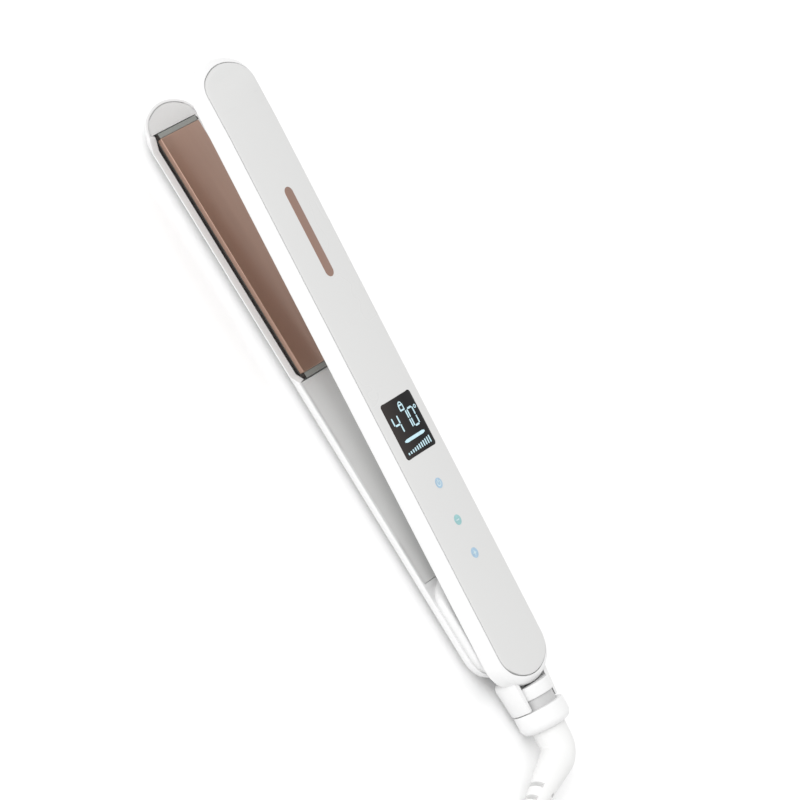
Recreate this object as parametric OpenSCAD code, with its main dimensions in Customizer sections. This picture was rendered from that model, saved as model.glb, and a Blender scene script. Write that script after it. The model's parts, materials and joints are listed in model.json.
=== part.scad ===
// Flat iron with two hinged arms, floating heated plates, a display and a swivel cord.
// Arm parts are laid out in the closed iron: x runs from the tip to the tail, z is 0 where the
// plates meet. open_arm() then turns the upper arm open, and place() stands the lower arm on z = 0.

/* [Arms] */
// Length of the upper casing, from its tip to the face in front of the swivel
upper_len = 260; // [255:1:265]
// Width of both arms
arm_w = 34; // [33:0.5:36]
// Height of the top panel above the plane where the plates meet
top_z = 11; // [10.8:0.1:11.4]
// Height of the upper casing's lower edge above that plane
edge_z = 2.9; // [2.8:0.1:3]
// Depth of the lower arm's flat underside below that plane
lower_depth = 9.6; // [9.5:0.1:9.8]
// Depth of the lower arm's inner face below that plane
inner_face_z = 1.2; // [1.1:0.1:1.3]
// Where the lower arm's tip starts, behind the upper one
lower_tip_x = 3.8; // [3:0.2:5]
// Where the lower arm ends at the hinge
lower_end_x = 253.5; // [252.5:0.5:254]
// Angle between the arms when let go
open_angle = 5.36; // [5:0.02:5.5]
// Wall of the casings
wall = 1.8; // [1.6:0.1:2]

/* [Plates] */
// Length of a heated plate
plate_len = 101.8; // [100:0.2:102]
// Width of a heated plate
plate_w = 25.4; // [24:0.2:25.6]
// Where the plates start
plate_x = 16.4; // [16:0.1:17]
// Thickness of the plate metal
plate_t = 1.2; // [1:0.1:1.4]
// How far a plate gives way when pressed
plate_travel = 1; // [0.6:0.1:1.2]

/* [Controls] */
// Where the display starts
display_x = 141.9; // [140:0.1:143]
// Length of the display window
display_len = 23.2; // [22:0.1:24]
// Width of the display window
display_w = 20.6; // [19:0.1:21]
// Radius of a button cap
button_r = 2.7; // [2.4:0.1:3]
// Thickness of the inlaid top panel
panel_t = 1.4; // [1.2:0.1:1.6]

/* [Hinge] */
// Distance of the hinge pin from the upper tip
hinge_x = 242.4; // [242:0.1:243]
// Radius of the hinge pin
pin_r = 1.5; // [1.4:0.05:1.7]
// Height of the hinge cover above the plane where the plates meet
cover_top = 1.9; // [1.6:0.1:2]

/* [Swivel and cord] */
// Height of the swivel's axis above the plane where the plates meet
tail_z = 4.2; // [4:0.1:4.4]
// Radius of the swivel collar
collar_r = 10.2; // [10:0.1:10.4]
// Length of the swivel collar
collar_len = 8.4; // [8:0.1:9]
// Radius of the strain relief where it leaves the collar
relief_r = 6.6; // [6.4:0.1:6.8]
// Sideways bend of the strain relief
relief_bend = 66; // [60:1:70]
// Diameter of the mains cord
cord_d = 6; // [5.5:0.5:6.5]

/* [Hidden] */
$fn = 64;

// Middle of the standing iron along x, without its cord
mid_x = 140.2;
// Fine seam between neighbouring parts
seam = 0.15;
// A small overrun that lets a cut pass a face
over = 1;
half_w = arm_w / 2;

// Plan of the arms' ends: a wide nose arc blended into the sides by two corner arcs
nose_r = 24;
corner_r = 10;
rim_w = 1.7;
tip_rim = 2.6;
rear_nose_r = 21;
rear_corner_r = 11.5;

// Side view of the upper arm: the top dips over dip_len towards the tip
dip_len = 22;
dip_depth = 2.8;
dip_r = (dip_len * dip_len + dip_depth * dip_depth) / (2 * dip_depth);
edge_r = 3;
crown_r = 180;

// Cross-section of the lower arm: side arcs and one wide arc underneath
side_r = 5.2;
virtual_depth = lower_depth + 0.7;
side_z = inner_face_z + 0.1;
lower_h = virtual_depth - side_z;
// The side arcs run slightly past the plan, which trims them
side_y = half_w - side_r + 0.15;
belly_r = (side_y * side_y + lower_h * lower_h - side_r * side_r) / (2 * (lower_h - side_r));

// Inner covers
cover_t = 1;
upper_cover_z = edge_z + 0.3;
upper_cover_end = 233;
roof_z = top_z - panel_t - 1.6;
lower_cover_end = 208.3;
cover_gap = 0.2;
upper_cover_w = arm_w - 2.8;
lower_cover_w = arm_w - 2.4;

// Plate group, drawn for the upper arm and mirrored for the lower one
plate_end = plate_x + plate_len;
holder_x = plate_x - 2;
holder_len = plate_len + 4.2;
holder_w = plate_w + 1;
holder_chamfer = [1, 0.8];
flange_depth = 2.2;
rail_end = 3.2;
core_end = 4.2;
strip_end = 3.5;
back_w = 17;
// The lower arm's rim is cut down beside the plate, with a slant at each end
rim_drop = 2.1;
rim_slant = [5.5, 3.2];
holder_top = 5.6;
strip_z = 0.35;
opening_gap = 0.4;
pocket = [20, 94, 16.4];
heater = [35, 65, 14, 2];
cushion_xs = [30, 67, 104];
cushion_size = [10, 15];
cushion_end = 7;

// Controls
button_xs = [177.9, 193.3, 207.1];
button_flange = [3.4, 0.55];
button_travel = 0.45;
board_x = 128;
board_len = 94;
board_w = 27;
board_z = 5.2;
board_t = 1;
board_top = board_z + board_t;

// Hinge
lug_y = 5.5;
lug_t = 4;
lug_r = 3.6;
bush_r = 2.3;
saddle_y = 10.6;
saddle_t = 4;
pin_half = saddle_y + saddle_t - 0.1;
ramp_x = 208.5;
ramp_len = 6.5;
rear_arc_x = 240.5;
rear_arc_r = 14;
screw_r = 1.1;
spring_r = 2.2;
wire_r = 0.4;
spring_half = 3.2;
spring_leg = 13;

// Tail and swivel
tail_x = 255.2;
tail_r1 = 11.8;
tail_r2 = 10.4;
tail_end = 269.2;
trough_r = 9;
ear_z = tail_z + 3.5;
hub_r = 8.7;
groove_x = 265.4;
core_r = 7.6;
journal_r = 4;
spindle_r = 3.2;
ring_r = 4.4;
ring_xs = [247.2, 250];
ring_w = 1.2;
clip_x = 252.2;
clip_t = 0.8;
collar_x = tail_end + 0.25;
collar_end = collar_x + collar_len;

// Strain relief: straight root, bend, then a long ribbed taper
relief_straight = 5.7;
relief_bend_r = 7.5;
relief_droop = 8;
relief_mid_r = 6.2;
relief_tip_r = 3.9;
relief_taper = 24;
relief_slots = [9.5, 13.7, 17.9, 21.3];
slot_w = 1.5;
groove_d = 1.4;

// Cord: hand-chosen route points on the standing iron, from the strain relief to the hank
lead_route = [[159.8, -26.1, 4.7], [162.6, -30.6, 4], [167.2, -35.3, 3.4], [173.2, -38.6, 3.1],
    [180.5, -40, 3], [190, -40, 3], [199, -40, 3], [209, -40, 3]];
// From the hank to the plug
end_route = [[209, -34, 21], [216, -32.6, 20.6], [224, -28.4, 18.4], [232, -22.4, 14], [240, -17.6, 9.4],
    [247, -16, 7], [253, -16, 7]];
hank_run = 100;
hank_x = 205;
hank_mid_y = -16;
hank_in_r = 15;
hank_out_r = 27;
hank_h = 24;
tie_w = 10;
tie_t = 1.2;
plug_x = 253;
plug_y = -16;
plug_z = 7;

// ---- placing ----

// Stands the closed layout on the surface, centred
module place() {
    translate([-mid_x, 0, lower_depth]) children();
}

// Turns the upper arm open about the hinge pin, then stands it
module open_arm() {
    place() translate([hinge_x, 0, 0]) rotate([0, open_angle, 0]) translate([-hinge_x, 0, 0])
        children();
}

// Extrudes a plan outline between two heights
module slab(z0, z1) {
    translate([0, 0, z0]) linear_extrude(z1 - z0) children();
}

// Extrudes a side view, drawn in x and z, over a width centred on y = 0
module side_cut(width) {
    translate([0, width / 2, 0]) rotate([90, 0, 0]) linear_extrude(width) children();
}

// Extrudes a cross-section, drawn in y and z, from x0 to x1
module along(x0, x1) {
    translate([x0, 0, 0]) rotate([90, 0, 90]) linear_extrude(x1 - x0) children();
}

// Round bar along x
module bar_x(x0, x1, r, z = 0, y = 0) {
    translate([x0, y, z]) rotate([0, 90, 0]) cylinder(r = r, h = x1 - x0);
}

// Round bar along y, from y0 to y1
module bar_y(x, y0, y1, z, r) {
    translate([x, y0, z]) rotate([-90, 0, 0]) cylinder(r = r, h = y1 - y0);
}

// Box from one corner to the other
module box(low, high) {
    translate(low) cube(high - low);
}

// ---- outlines ----

// One rounded end of an arm, its nose at the origin
module arm_end(half, nose, corner) {
    yc = half - corner;
    reach = sqrt(pow(nose - corner, 2) - yc * yc);
    for (side = [-1, 1])
        translate([nose - reach, side * yc]) circle(r = corner);
    intersection() {
        translate([nose, 0]) circle(r = nose);
        polygon([[nose, 0], [nose - 3 * reach, 3 * yc], [nose - 3 * reach, -3 * yc]]);
    }
}

// Distance from an end's nose to where its sides are straight
function end_reach(half, nose, corner) = nose - sqrt(pow(nose - corner, 2) - pow(half - corner, 2));

// Plan outline of an arm, its rim or its panel, drawn inset from the arm's own outline
module arm_plan(x0, x1, inset, rear_nose = rear_nose_r, rear_corner = rear_corner_r) {
    half = half_w - inset;
    front = end_reach(half, nose_r - inset, corner_r - inset);
    rear = end_reach(half, rear_nose - inset, rear_corner - inset);
    translate([x0, 0]) arm_end(half, nose_r - inset, corner_r - inset);
    translate([x1, 0]) mirror([1, 0]) arm_end(half, rear_nose - inset, rear_corner - inset);
    translate([x0 + front, -half]) square([x1 - rear - x0 - front, 2 * half]);
}

// Side view of the upper arm under a top that dips towards the tip
module upper_side(inset, drop, x1) {
    top = top_z - drop;
    intersection() {
        translate([inset, edge_z - over]) square([x1 - inset, top - edge_z + over]);
        union() {
            translate([dip_len, top - dip_r]) circle(r = dip_r, $fn = 200);
            translate([dip_len, edge_z - over]) square([x1 - dip_len, top - edge_z + over]);
        }
        union() {
            translate([inset + edge_r, top - dip_depth - edge_r + 0.7]) circle(r = edge_r);
            translate([inset + edge_r, edge_z - over]) square([x1, top]);
            translate([inset, edge_z - over])
                square([edge_r, top - dip_depth - edge_r + 0.7 - edge_z + over]);
        }
    }
}

// Cross-section of the upper arm: upright sides, rounded top edges and a slight crown
module upper_section(inset, drop) {
    half = half_w - inset;
    top = top_z - drop;
    r = max(edge_r - inset, 0.8);
    intersection() {
        translate([0, top - crown_r]) circle(r = crown_r, $fn = 720);
        union() {
            translate([-half, edge_z - over]) square([2 * half, top - r - edge_z + over]);
            translate([r - half, edge_z - over]) square([2 * (half - r), top - edge_z + over]);
            for (side = [-1, 1])
                translate([side * (half - r), top - r]) circle(r = r);
        }
    }
}

// Solid of the upper arm, or of its cavity when inset and dropped
module upper_form(inset, drop, x1) {
    intersection() {
        slab(edge_z, top_z + over) arm_plan(inset, x1, inset);
        side_cut(arm_w + over) upper_side(inset, drop, x1);
        along(0, x1) upper_section(inset, drop);
    }
}

// Cross-section of the lower arm, three arcs under a level rim
module lower_section(inset) {
    intersection() {
        translate([-half_w, inner_face_z - 3 * lower_depth])
            square([arm_w, 3 * lower_depth - 2 * inner_face_z]);
        union() {
            for (side = [-1, 1])
                translate([side * side_y, -side_z]) circle(r = side_r - inset);
            intersection() {
                translate([0, belly_r - virtual_depth]) circle(r = belly_r - inset, $fn = 200);
                polygon([[0, belly_r - virtual_depth],
                    [2 * side_y, -2 * side_z - belly_r + virtual_depth],
                    [-2 * side_y, -2 * side_z - belly_r + virtual_depth]]);
            }
        }
    }
}

// Side view of the lower arm: round nose, flat underside and a round hinge end
module lower_side(inset) {
    tip_r = 9;
    low = inset - lower_depth;
    intersection() {
        translate([lower_tip_x + inset, low])
            square([lower_end_x - lower_tip_x - 2 * inset, lower_depth + cover_top - inset]);
        union() {
            translate([lower_tip_x + tip_r, tip_r - lower_depth]) circle(r = tip_r - inset);
            translate([lower_tip_x + tip_r, low]) square([lower_end_x, 3 * lower_depth]);
            translate([lower_tip_x + inset, tip_r - lower_depth]) square([tip_r, lower_depth]);
        }
        union() {
            translate([rear_arc_x, cover_top - rear_arc_r])
                circle(r = rear_arc_r - inset);
            translate([0, low]) square([rear_arc_x, 3 * lower_depth]);
        }
    }
}

// Solid of the lower arm below its rim, or of its cavity when inset
module lower_form(inset) {
    intersection() {
        slab(-lower_depth - over, over)
            arm_plan(lower_tip_x + inset, lower_end_x - inset, inset);
        side_cut(arm_w + over) lower_side(inset);
        along(lower_tip_x, lower_end_x) lower_section(inset);
    }
}

// Side view of what is cut from the lower arm's rim beside the plate
module rim_notch() {
    x1 = holder_x + holder_len;
    low = -inner_face_z - rim_drop;
    polygon([[holder_x, 0], [holder_x, -inner_face_z], [holder_x + rim_slant[0], low],
        [x1 - rim_slant[1], low], [x1, -inner_face_z], [x1, 0]]);
}

// Rectangle with its four corners cut off
module cut_corner_plan(x0, length, width, cut) {
    h = width / 2;
    x1 = x0 + length;
    polygon([[x0, cut[1] - h], [x0 + cut[0], -h], [x1 - cut[0], -h], [x1, cut[1] - h],
        [x1, h - cut[1]], [x1 - cut[0], h], [x0 + cut[0], h], [x0, h - cut[1]]]);
}

// Opening in an inner cover, or the holder that moves in it
module holder_plan(grow) {
    cut_corner_plan(holder_x - grow, holder_len + 2 * grow, holder_w + 2 * grow, holder_chamfer);
}

// Rectangle with rounded corners
module soft_rect(x0, length, width, r) {
    h = width / 2;
    translate([x0 + r, -h]) square([length - 2 * r, width]);
    translate([x0, r - h]) square([length, width - 2 * r]);
    for (x = [x0 + r, x0 + length - r], y = [r - h, h - r])
        translate([x, y]) circle(r = r);
}

// ---- upper arm ----

// Tapered tail that cradles the swivel hub between two ears
module tail() {
    difference() {
        intersection() {
            translate([tail_x, 0, tail_z]) rotate([0, 90, 0])
                cylinder(r1 = tail_r1, r2 = tail_r2, h = tail_end - tail_x);
            box([tail_x, -arm_w, -arm_w], [tail_end, arm_w, ear_z]);
        }
        bar_x(upper_len, tail_end + over, trough_r, tail_z);
    }
}

// Lug that hangs from the upper casing and turns on the hinge pin
module lug(y0) {
    difference() {
        union() {
            bar_y(hinge_x, y0, y0 + lug_t, 0, lug_r);
            box([hinge_x - lug_r, y0, 0], [hinge_x + lug_r, y0 + lug_t, roof_z + 0.5]);
        }
        bar_y(hinge_x, y0 - over, y0 + lug_t + over, 0, bush_r);
    }
}

// Positions of the screws that hold the upper inner cover
screw_spots = [[8.5, 0], [124.4, -9.5], [124.4, 9.5], [228, -9.5], [228, 9.5]];

module upper_housing() color("white") open_arm() difference() {
    union() {
        difference() {
            upper_form(0, 0, upper_len);
            upper_form(wall, panel_t + 1.6, tail_x - over);
            // rebate for the top panel
            intersection() {
                slab(edge_z, top_z + over) panel_plan(0);
                difference() {
                    box([0, -half_w, 0], [upper_len, half_w, top_z + over]);
                    upper_form(0, panel_t, upper_len);
                }
            }
            // rebate for the inner cover
            slab(edge_z - over, upper_cover_z + cover_t) upper_cover_plan(cover_gap);
            // display opening in the roof
            slab(roof_z - over, top_z) soft_rect(display_x - 0.4, display_len + 0.8, display_w + 0.8, 1);
            // button wells
            for (x = button_xs) {
                translate([x, 0, roof_z - over]) cylinder(r = 1.8, h = top_z);
                translate([x, 0, roof_z + 0.5]) cylinder(r = 3.7, h = top_z);
            }
        }
        // floor behind the inner cover
        intersection() {
            upper_form(1, 1, upper_len - 1);
            box([upper_cover_end, -half_w, edge_z], [tail_x, half_w, edge_z + 1.5]);
        }
        tail();
        for (y0 = [-lug_y - lug_t, lug_y])
            lug(y0);
        // screw bosses
        for (spot = screw_spots)
            translate([spot[0], spot[1], upper_cover_z + cover_t])
                cylinder(r = 2.4, h = roof_z - upper_cover_z - cover_t + (spot[0] < dip_len ? -0.6 : 0.5));
        // stops for the plate cushions
        for (x = cushion_xs)
            box([x - 6, -9, cushion_end], [x + 6, 9, roof_z + 0.5 - (x < 31 ? 0.2 : 0)]);
    }
    for (spot = screw_spots)
        translate([spot[0], spot[1], upper_cover_z]) cylinder(r = screw_r, h = 3.6);
    // room for the slip rings and the clip
    bar_x(246.2, 252, 4.8, tail_z);
    bar_x(251.9, 253.9, 4.95, tail_z);
    // bearing of the swivel
    bar_x(tail_x - 2.5, upper_len + over, journal_r + 0.05, tail_z);
    // room between the lugs for the opening spring
    box([hinge_x - 5, -lug_y, edge_z - over], [hinge_x + 4, lug_y, edge_z + 1]);
}

// Outline of the upper inner cover
module upper_cover_plan(grow) {
    inset = (arm_w - upper_cover_w) / 2 - grow;
    intersection() {
        arm_plan(inset, upper_len, inset);
        translate([-over, -half_w]) square([upper_cover_end + grow + over, arm_w]);
    }
}

module upper_inner_cover() color("whitesmoke") open_arm() difference() {
    slab(upper_cover_z, upper_cover_z + cover_t) upper_cover_plan(0);
    slab(0, top_z) holder_plan(opening_gap);
    for (spot = screw_spots) translate([spot[0], spot[1], 0]) {
        cylinder(r = screw_r + 0.2, h = top_z);
        cylinder(r = 2.5, h = upper_cover_z + 0.55);
    }
}

module inner_cover_screws() color("silver") open_arm()
    for (spot = screw_spots) translate([spot[0], spot[1], upper_cover_z + 0.05]) {
        cylinder(r = 2.2, h = 0.5);
        cylinder(r = screw_r - 0.02, h = 3.4);
    }

// Outline of the inlaid panel
module panel_plan(inset) {
    arm_plan(tip_rim + inset, upper_len - 2.6 - inset, rim_w + inset);
}

module top_panel() color("gainsboro") open_arm() difference() {
    intersection() {
        slab(edge_z, top_z + over) panel_plan(seam);
        difference() {
            upper_form(0, 0, upper_len);
            upper_form(0, panel_t - 0.02, upper_len);
        }
    }
    slab(roof_z, top_z + over) soft_rect(display_x, display_len, display_w, 1.4);
    for (x = button_xs)
        translate([x, 0, roof_z]) cylinder(r = button_r + 0.12, h = top_z);
}

module display_window() color("black") open_arm() intersection() {
    slab(top_z - panel_t, top_z + over)
        soft_rect(display_x + 0.1, display_len - 0.2, display_w - 0.2, 1.3);
    upper_form(0, 0, upper_len);
}

module display_module() color("slategray") open_arm()
    box([display_x, 0.3 - display_w / 2, board_top], [display_x + display_len, display_w / 2 - 0.3,
        top_z - panel_t - 0.1]);

module circuit_board() color("darkgreen") open_arm()
    box([board_x, -board_w / 2, board_z], [board_x + board_len, board_w / 2, board_top]);

module main_chip() color("black") open_arm()
    box([131, -4, board_top], [138, 3, board_top + 1]);

module power_triac() color("dimgray") open_arm() {
    box([212, -11, board_top], [218, -4.4, board_top + 1.2]);
    box([218, -10, board_top], [219.2, -5.4, board_top + 0.6]);
}

module smoothing_capacitor() color("goldenrod") open_arm()
    box([212.5, 2, board_top], [219.5, 10, board_top + 1.2]);

module push_switches() color("silver") open_arm()
    for (x = button_xs) {
        box([x - 2.6, -2.6, board_top], [x + 2.6, 2.6, board_top + 1.2]);
        translate([x, 0, board_top + 1.2]) cylinder(r = 1, h = 0.45);
    }

// Button cap, retaining flange and stem
module button(x) {
    flange_z = top_z - panel_t - 0.05 - button_flange[1];
    translate([x, 0, flange_z]) {
        cylinder(r = button_flange[0], h = button_flange[1]);
        cylinder(r = button_r, h = top_z - flange_z);
    }
    translate([x, 0, flange_z - 0.65]) cylinder(r = 1.5, h = 0.65 + button_flange[1]);
}

module power_button() color("lightsteelblue") open_arm() button(button_xs[0]);
module minus_button() color("lightsteelblue") open_arm() button(button_xs[1]);
module plus_button() color("lightsteelblue") open_arm() button(button_xs[2]);

module link_leads() color("white") open_arm()
    for (y = [-6.5, -4.9])
        bar_x(board_x + board_len + 0.1, 236.5, 0.6, board_z, y);

// Side of the slip rings that each supply lead and its brush are on
brush_y = ring_r + 0.05;
brush_t = 0.3;
lead_r = 0.35;

module supply_leads() color("black") open_arm()
    for (side = [0, 1])
        bar_x(board_x + board_len + 0.1, ring_xs[side] + ring_w, lead_r, 6.4,
            (1 - 2 * side) * (brush_y + brush_t + lead_r));

module brush_contacts() color("goldenrod") open_arm()
    for (side = [0, 1]) {
        y = (1 - 2 * side) * (brush_y + brush_t / 2);
        box([ring_xs[side], y - brush_t / 2, edge_z + 1.55],
            [ring_xs[side] + ring_w, y + brush_t / 2, roof_z - 0.4]);
    }

module hinge_bushes() color("peru") open_arm()
    for (y0 = [-lug_y - lug_t, lug_y]) difference() {
        bar_y(hinge_x, y0, y0 + lug_t, 0, bush_r);
        bar_y(hinge_x, y0 - over, y0 + lug_t + over, 0, pin_r + 0.05);
    }

// ---- heated plates, drawn for the upper arm ----

// Channel-shaped plate: a flat face with rounded long edges and two flanges
module plate_shape() {
    half = plate_w / 2;
    along(plate_x, plate_end) difference() {
        union() {
            translate([plate_t - half, 0]) square([plate_w - 2 * plate_t, plate_t]);
            for (side = [-1, 1]) {
                translate([side * (half - plate_t), plate_t]) circle(r = plate_t);
                translate([side > 0 ? half - plate_t : -half, plate_t])
                    square([plate_t, flange_depth - plate_t]);
            }
        }
        translate([plate_t - half, plate_t]) square([plate_w - 2 * plate_t, 4]);
    }
}

// Holder: end strips in front of and behind the plate, a core inside it and rails under its flanges
module holder_shape() {
    core_w = plate_w - 2 * plate_t - 0.2;
    difference() {
        union() {
            slab(strip_z, strip_end) intersection() {
                holder_plan(0);
                union() {
                    translate([holder_x, -half_w]) square([plate_x - holder_x - 0.1, arm_w]);
                    translate([plate_end + 0.1, -half_w]) square([4, arm_w]);
                }
            }
            slab(plate_t + 0.05, core_end) translate([holder_x + over, -core_w / 2])
                square([holder_len - 2 * over, core_w]);
            slab(flange_depth + 0.3, rail_end) translate([holder_x, -plate_w / 2])
                square([holder_len, plate_w]);
            slab(core_end - over, holder_top) translate([holder_x + 2, -back_w / 2])
                square([holder_len - 4, back_w]);
        }
        // pocket for the heater
        box([pocket[0], -pocket[2] / 2, 0], [pocket[0] + pocket[1], pocket[2] / 2, 4.6]);
        // ways out for the leads
        for (side = [-1, 1])
            bar_x(pocket[0] + pocket[1] - over, holder_x + holder_len + over, 0.8, 3.6, side * 4);
    }
}

module heater_shape() {
    box([heater[0], -heater[2] / 2, plate_t + 0.03], [heater[0] + heater[1], heater[2] / 2,
        plate_t + heater[3]]);
}

module insulation_shape() {
    box([heater[0] - 2, -heater[2] / 2 - 0.8, plate_t + heater[3] + 0.05],
        [heater[0] + heater[1] + 2, heater[2] / 2 + 0.8, plate_t + heater[3] + 0.35]);
}

module cushion_shapes() {
    for (x = cushion_xs)
        box([x - cushion_size[0] / 2, -cushion_size[1] / 2, holder_top + plate_travel + 0.03],
            [x + cushion_size[0] / 2, cushion_size[1] / 2, cushion_end]);
}

// Leads from the pocket to just behind the holder
module heater_lead_shapes(x1) {
    for (side = [-1, 1])
        bar_x(heater[0] + heater[1] + 2.5, x1, 0.55, 3.6, side * 4);
}

module upper_plate() color("rosybrown") open_arm() plate_shape();
module upper_plate_holder() color("darkgray") open_arm() holder_shape();
module upper_heater() color("linen") open_arm() heater_shape();
module upper_insulation() color("orange") open_arm() insulation_shape();
module upper_cushions() color("firebrick") open_arm() cushion_shapes();
module upper_heater_leads() color("white") open_arm() heater_lead_shapes(120.5);
module thermal_fuse() color("silver") open_arm() bar_y(27, -5, 5, plate_t + 1.1, 1);

module lower_plate() color("rosybrown") place() mirror([0, 0, 1]) plate_shape();
module lower_plate_holder() color("darkgray") place() mirror([0, 0, 1]) holder_shape();
module lower_heater() color("linen") place() mirror([0, 0, 1]) heater_shape();
module lower_insulation() color("orange") place() mirror([0, 0, 1]) insulation_shape();
module lower_cushions() color("firebrick") place() mirror([0, 0, 1]) cushion_shapes();
module heat_sensor() color("black") place() mirror([0, 0, 1]) bar_y(27, -2, 2, plate_t + 1, 0.9);

// ---- lower arm ----

// Where the hinge cover is screwed down
cover_screws = [[222, -9.5], [222, 9.5]];

module lower_housing() color("white") place() difference() {
    union() {
        difference() {
            lower_form(0);
            lower_form(wall);
            slab(-inner_face_z - cover_t - 0.6, 0) lower_cover_plan(cover_gap, 0, 300);
        }
        // ledges beside the plate
        intersection() {
            lower_form(0.5);
            for (y0 = [-half_w, holder_w / 2])
                box([holder_x, y0, -inner_face_z - rim_drop - over],
                    [holder_x + holder_len, y0 + half_w - holder_w / 2, 0]);
        }
        // saddles that carry the hinge pin
        intersection() {
            lower_form(0.5);
            for (y0 = [-saddle_y - saddle_t, saddle_y])
                box([hinge_x - 4, y0, -lower_depth], [hinge_x + 4, y0 + saddle_t, 0]);
        }
        for (y0 = [-saddle_y - saddle_t, saddle_y])
            box([hinge_x - 3, y0, -4], [hinge_x + 3, y0 + saddle_t, 0]);
        // stops for the plate cushions
        intersection() {
            lower_form(0.5);
            for (x = cushion_xs)
                box([x - 6, -9, -lower_depth], [x + 6, 9, -cushion_end]);
        }
        // rest for the spring's lower leg
        box([hinge_x - spring_leg, -4.2, wall - lower_depth - 0.2],
            [hinge_x - spring_leg + 3, -1, -spring_r - wire_r - 0.05]);
        // bosses for the hinge cover screws
        intersection() {
            lower_form(0.5);
            for (spot = cover_screws)
                translate([spot[0], spot[1], -lower_depth]) cylinder(r = 2.4, h = 6.7);
        }
    }
    side_cut(arm_w + over) rim_notch();
    bar_y(hinge_x, -half_w, half_w, 0, pin_r + 0.02);
    for (spot = cover_screws)
        translate([spot[0], spot[1], -6.2]) cylinder(r = screw_r, h = 8);
}

// Outline of the lower inner cover and of the hinge cover, which follow one another
module lower_cover_plan(grow, x0, x1) {
    inset = (arm_w - lower_cover_w) / 2 - grow;
    intersection() {
        arm_plan(lower_tip_x + inset, lower_end_x - inset, inset);
        translate([x0, -half_w]) square([x1 - x0, arm_w]);
    }
}

module lower_inner_cover() color("whitesmoke") place() difference() {
    slab(-inner_face_z - cover_t - 0.4, -inner_face_z) lower_cover_plan(0, 0, lower_cover_end);
    // the ledges of the lower casing run beside the plate
    box([holder_x - opening_gap, -arm_w, -lower_depth], [holder_x + holder_len + opening_gap, arm_w, 0]);
}

// Side view of the hinge cover: a ramp in front, a flat top and an arc round the hinge behind
module hinge_cover_side(inset) {
    ramp_h = cover_top + inner_face_z;
    ramp_r = (ramp_len * ramp_len + ramp_h * ramp_h) / (2 * ramp_h);
    intersection() {
        translate([ramp_x + inset, -3]) square([lower_end_x - ramp_x - 2 * inset, 3 + cover_top - inset]);
        union() {
            translate([ramp_x + ramp_len, cover_top - ramp_r]) circle(r = ramp_r - inset);
            translate([ramp_x + ramp_len, -3]) square([50, 8]);
            translate([ramp_x, -3]) square([ramp_len, 3 - inner_face_z - inset]);
        }
        union() {
            translate([rear_arc_x, cover_top - rear_arc_r]) circle(r = rear_arc_r - inset);
            translate([0, -3]) square([rear_arc_x, 8]);
        }
    }
}

module hinge_cover() color("white") place() difference() {
    union() {
        difference() {
            intersection() {
                slab(-inner_face_z - cover_t - 0.4, cover_top) lower_cover_plan(0, ramp_x, lower_end_x);
                side_cut(arm_w) hinge_cover_side(0);
            }
            intersection() {
                slab(-4, cover_top) lower_cover_plan(-1.5, ramp_x, lower_end_x - 1.2);
                side_cut(arm_w) hinge_cover_side(1.3);
            }
        }
        // clamps over the hinge pin
        for (y0 = [-saddle_y - saddle_t + 0.3, saddle_y])
            box([hinge_x - 3, y0, 0.05], [hinge_x + 3, y0 + saddle_t - 0.3, cover_top - 0.3]);
        for (spot = cover_screws)
            translate([spot[0], spot[1], -2.6]) cylinder(r = 2.6, h = cover_top + 2.5);
    }
    // way in for the lugs and the opening spring
    box([hinge_x - 5, -saddle_y + 0.3, -4], [lower_end_x, saddle_y - 0.3, 4]);
    box([hinge_x - 17, -3.2, 0], [hinge_x, 4.4, 4]);
    // saddles stand clear of the cover's skin
    for (y0 = [-saddle_y - saddle_t - 0.1, saddle_y - 0.1])
        box([hinge_x - 4.2, y0, -4], [hinge_x + 4.2, y0 + saddle_t + 0.2, 0.05]);
    bar_y(hinge_x, -half_w, half_w, 0, pin_r + 0.02);
    for (spot = cover_screws) translate([spot[0], spot[1], 0]) {
        translate([0, 0, -4]) cylinder(r = screw_r + 0.2, h = 8);
        translate([0, 0, 0.6]) cylinder(r = 2.1, h = 4);
    }
}

module hinge_cover_screws() color("silver") place()
    for (spot = cover_screws) translate([spot[0], spot[1], 0]) {
        translate([0, 0, 0.65]) cylinder(r = 1.9, h = 1);
        translate([0, 0, -6]) cylinder(r = screw_r - 0.02, h = 6.8);
    }

module lower_heater_leads() color("white") place()
    for (y = [-6.5, -4.9])
        bar_x(121.2, 236, 0.6, -5.2, y);

module hinge_pin() color("silver") place()
    bar_y(hinge_x, -pin_half, pin_half, 0, pin_r);

// Torsion spring on the hinge pin, with a leg on each arm
module opening_spring() color("silver") place() {
    translate([hinge_x, 0, 0]) rotate([90, 0, 0]) rotate_extrude() difference() {
        translate([spring_r - wire_r, -spring_half]) square([2 * wire_r, 2 * spring_half]);
        for (i = [-3:3])
            translate([spring_r + wire_r / 2, (i - 0.1) * 0.9]) square([wire_r, 0.2]);
    }
    bar_x(hinge_x - spring_leg, hinge_x, wire_r, -spring_r, 0.5 - spring_half);
    bar_x(hinge_x - spring_leg, hinge_x, wire_r, spring_r, spring_half - 0.5);
}

// ---- swivel ----

module swivel_hub() color("white") open_arm() {
    bar_x(246.6, 253.4, spindle_r, tail_z);
    bar_x(253.2, upper_len + 0.3, journal_r, tail_z);
    bar_x(upper_len + 0.25, groove_x, hub_r, tail_z);
    bar_x(groove_x - 0.1, collar_end - 1.2, core_r, tail_z);
}

// Ring round the swivel's axis
module swivel_ring(x0, x1, r_in, r_out) {
    difference() {
        bar_x(x0, x1, r_out, tail_z);
        bar_x(x0 - over, x1 + over, r_in, tail_z);
    }
}

module slip_rings() color("gold") open_arm()
    for (x = ring_xs)
        swivel_ring(x, x + ring_w, spindle_r, ring_r);

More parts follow.
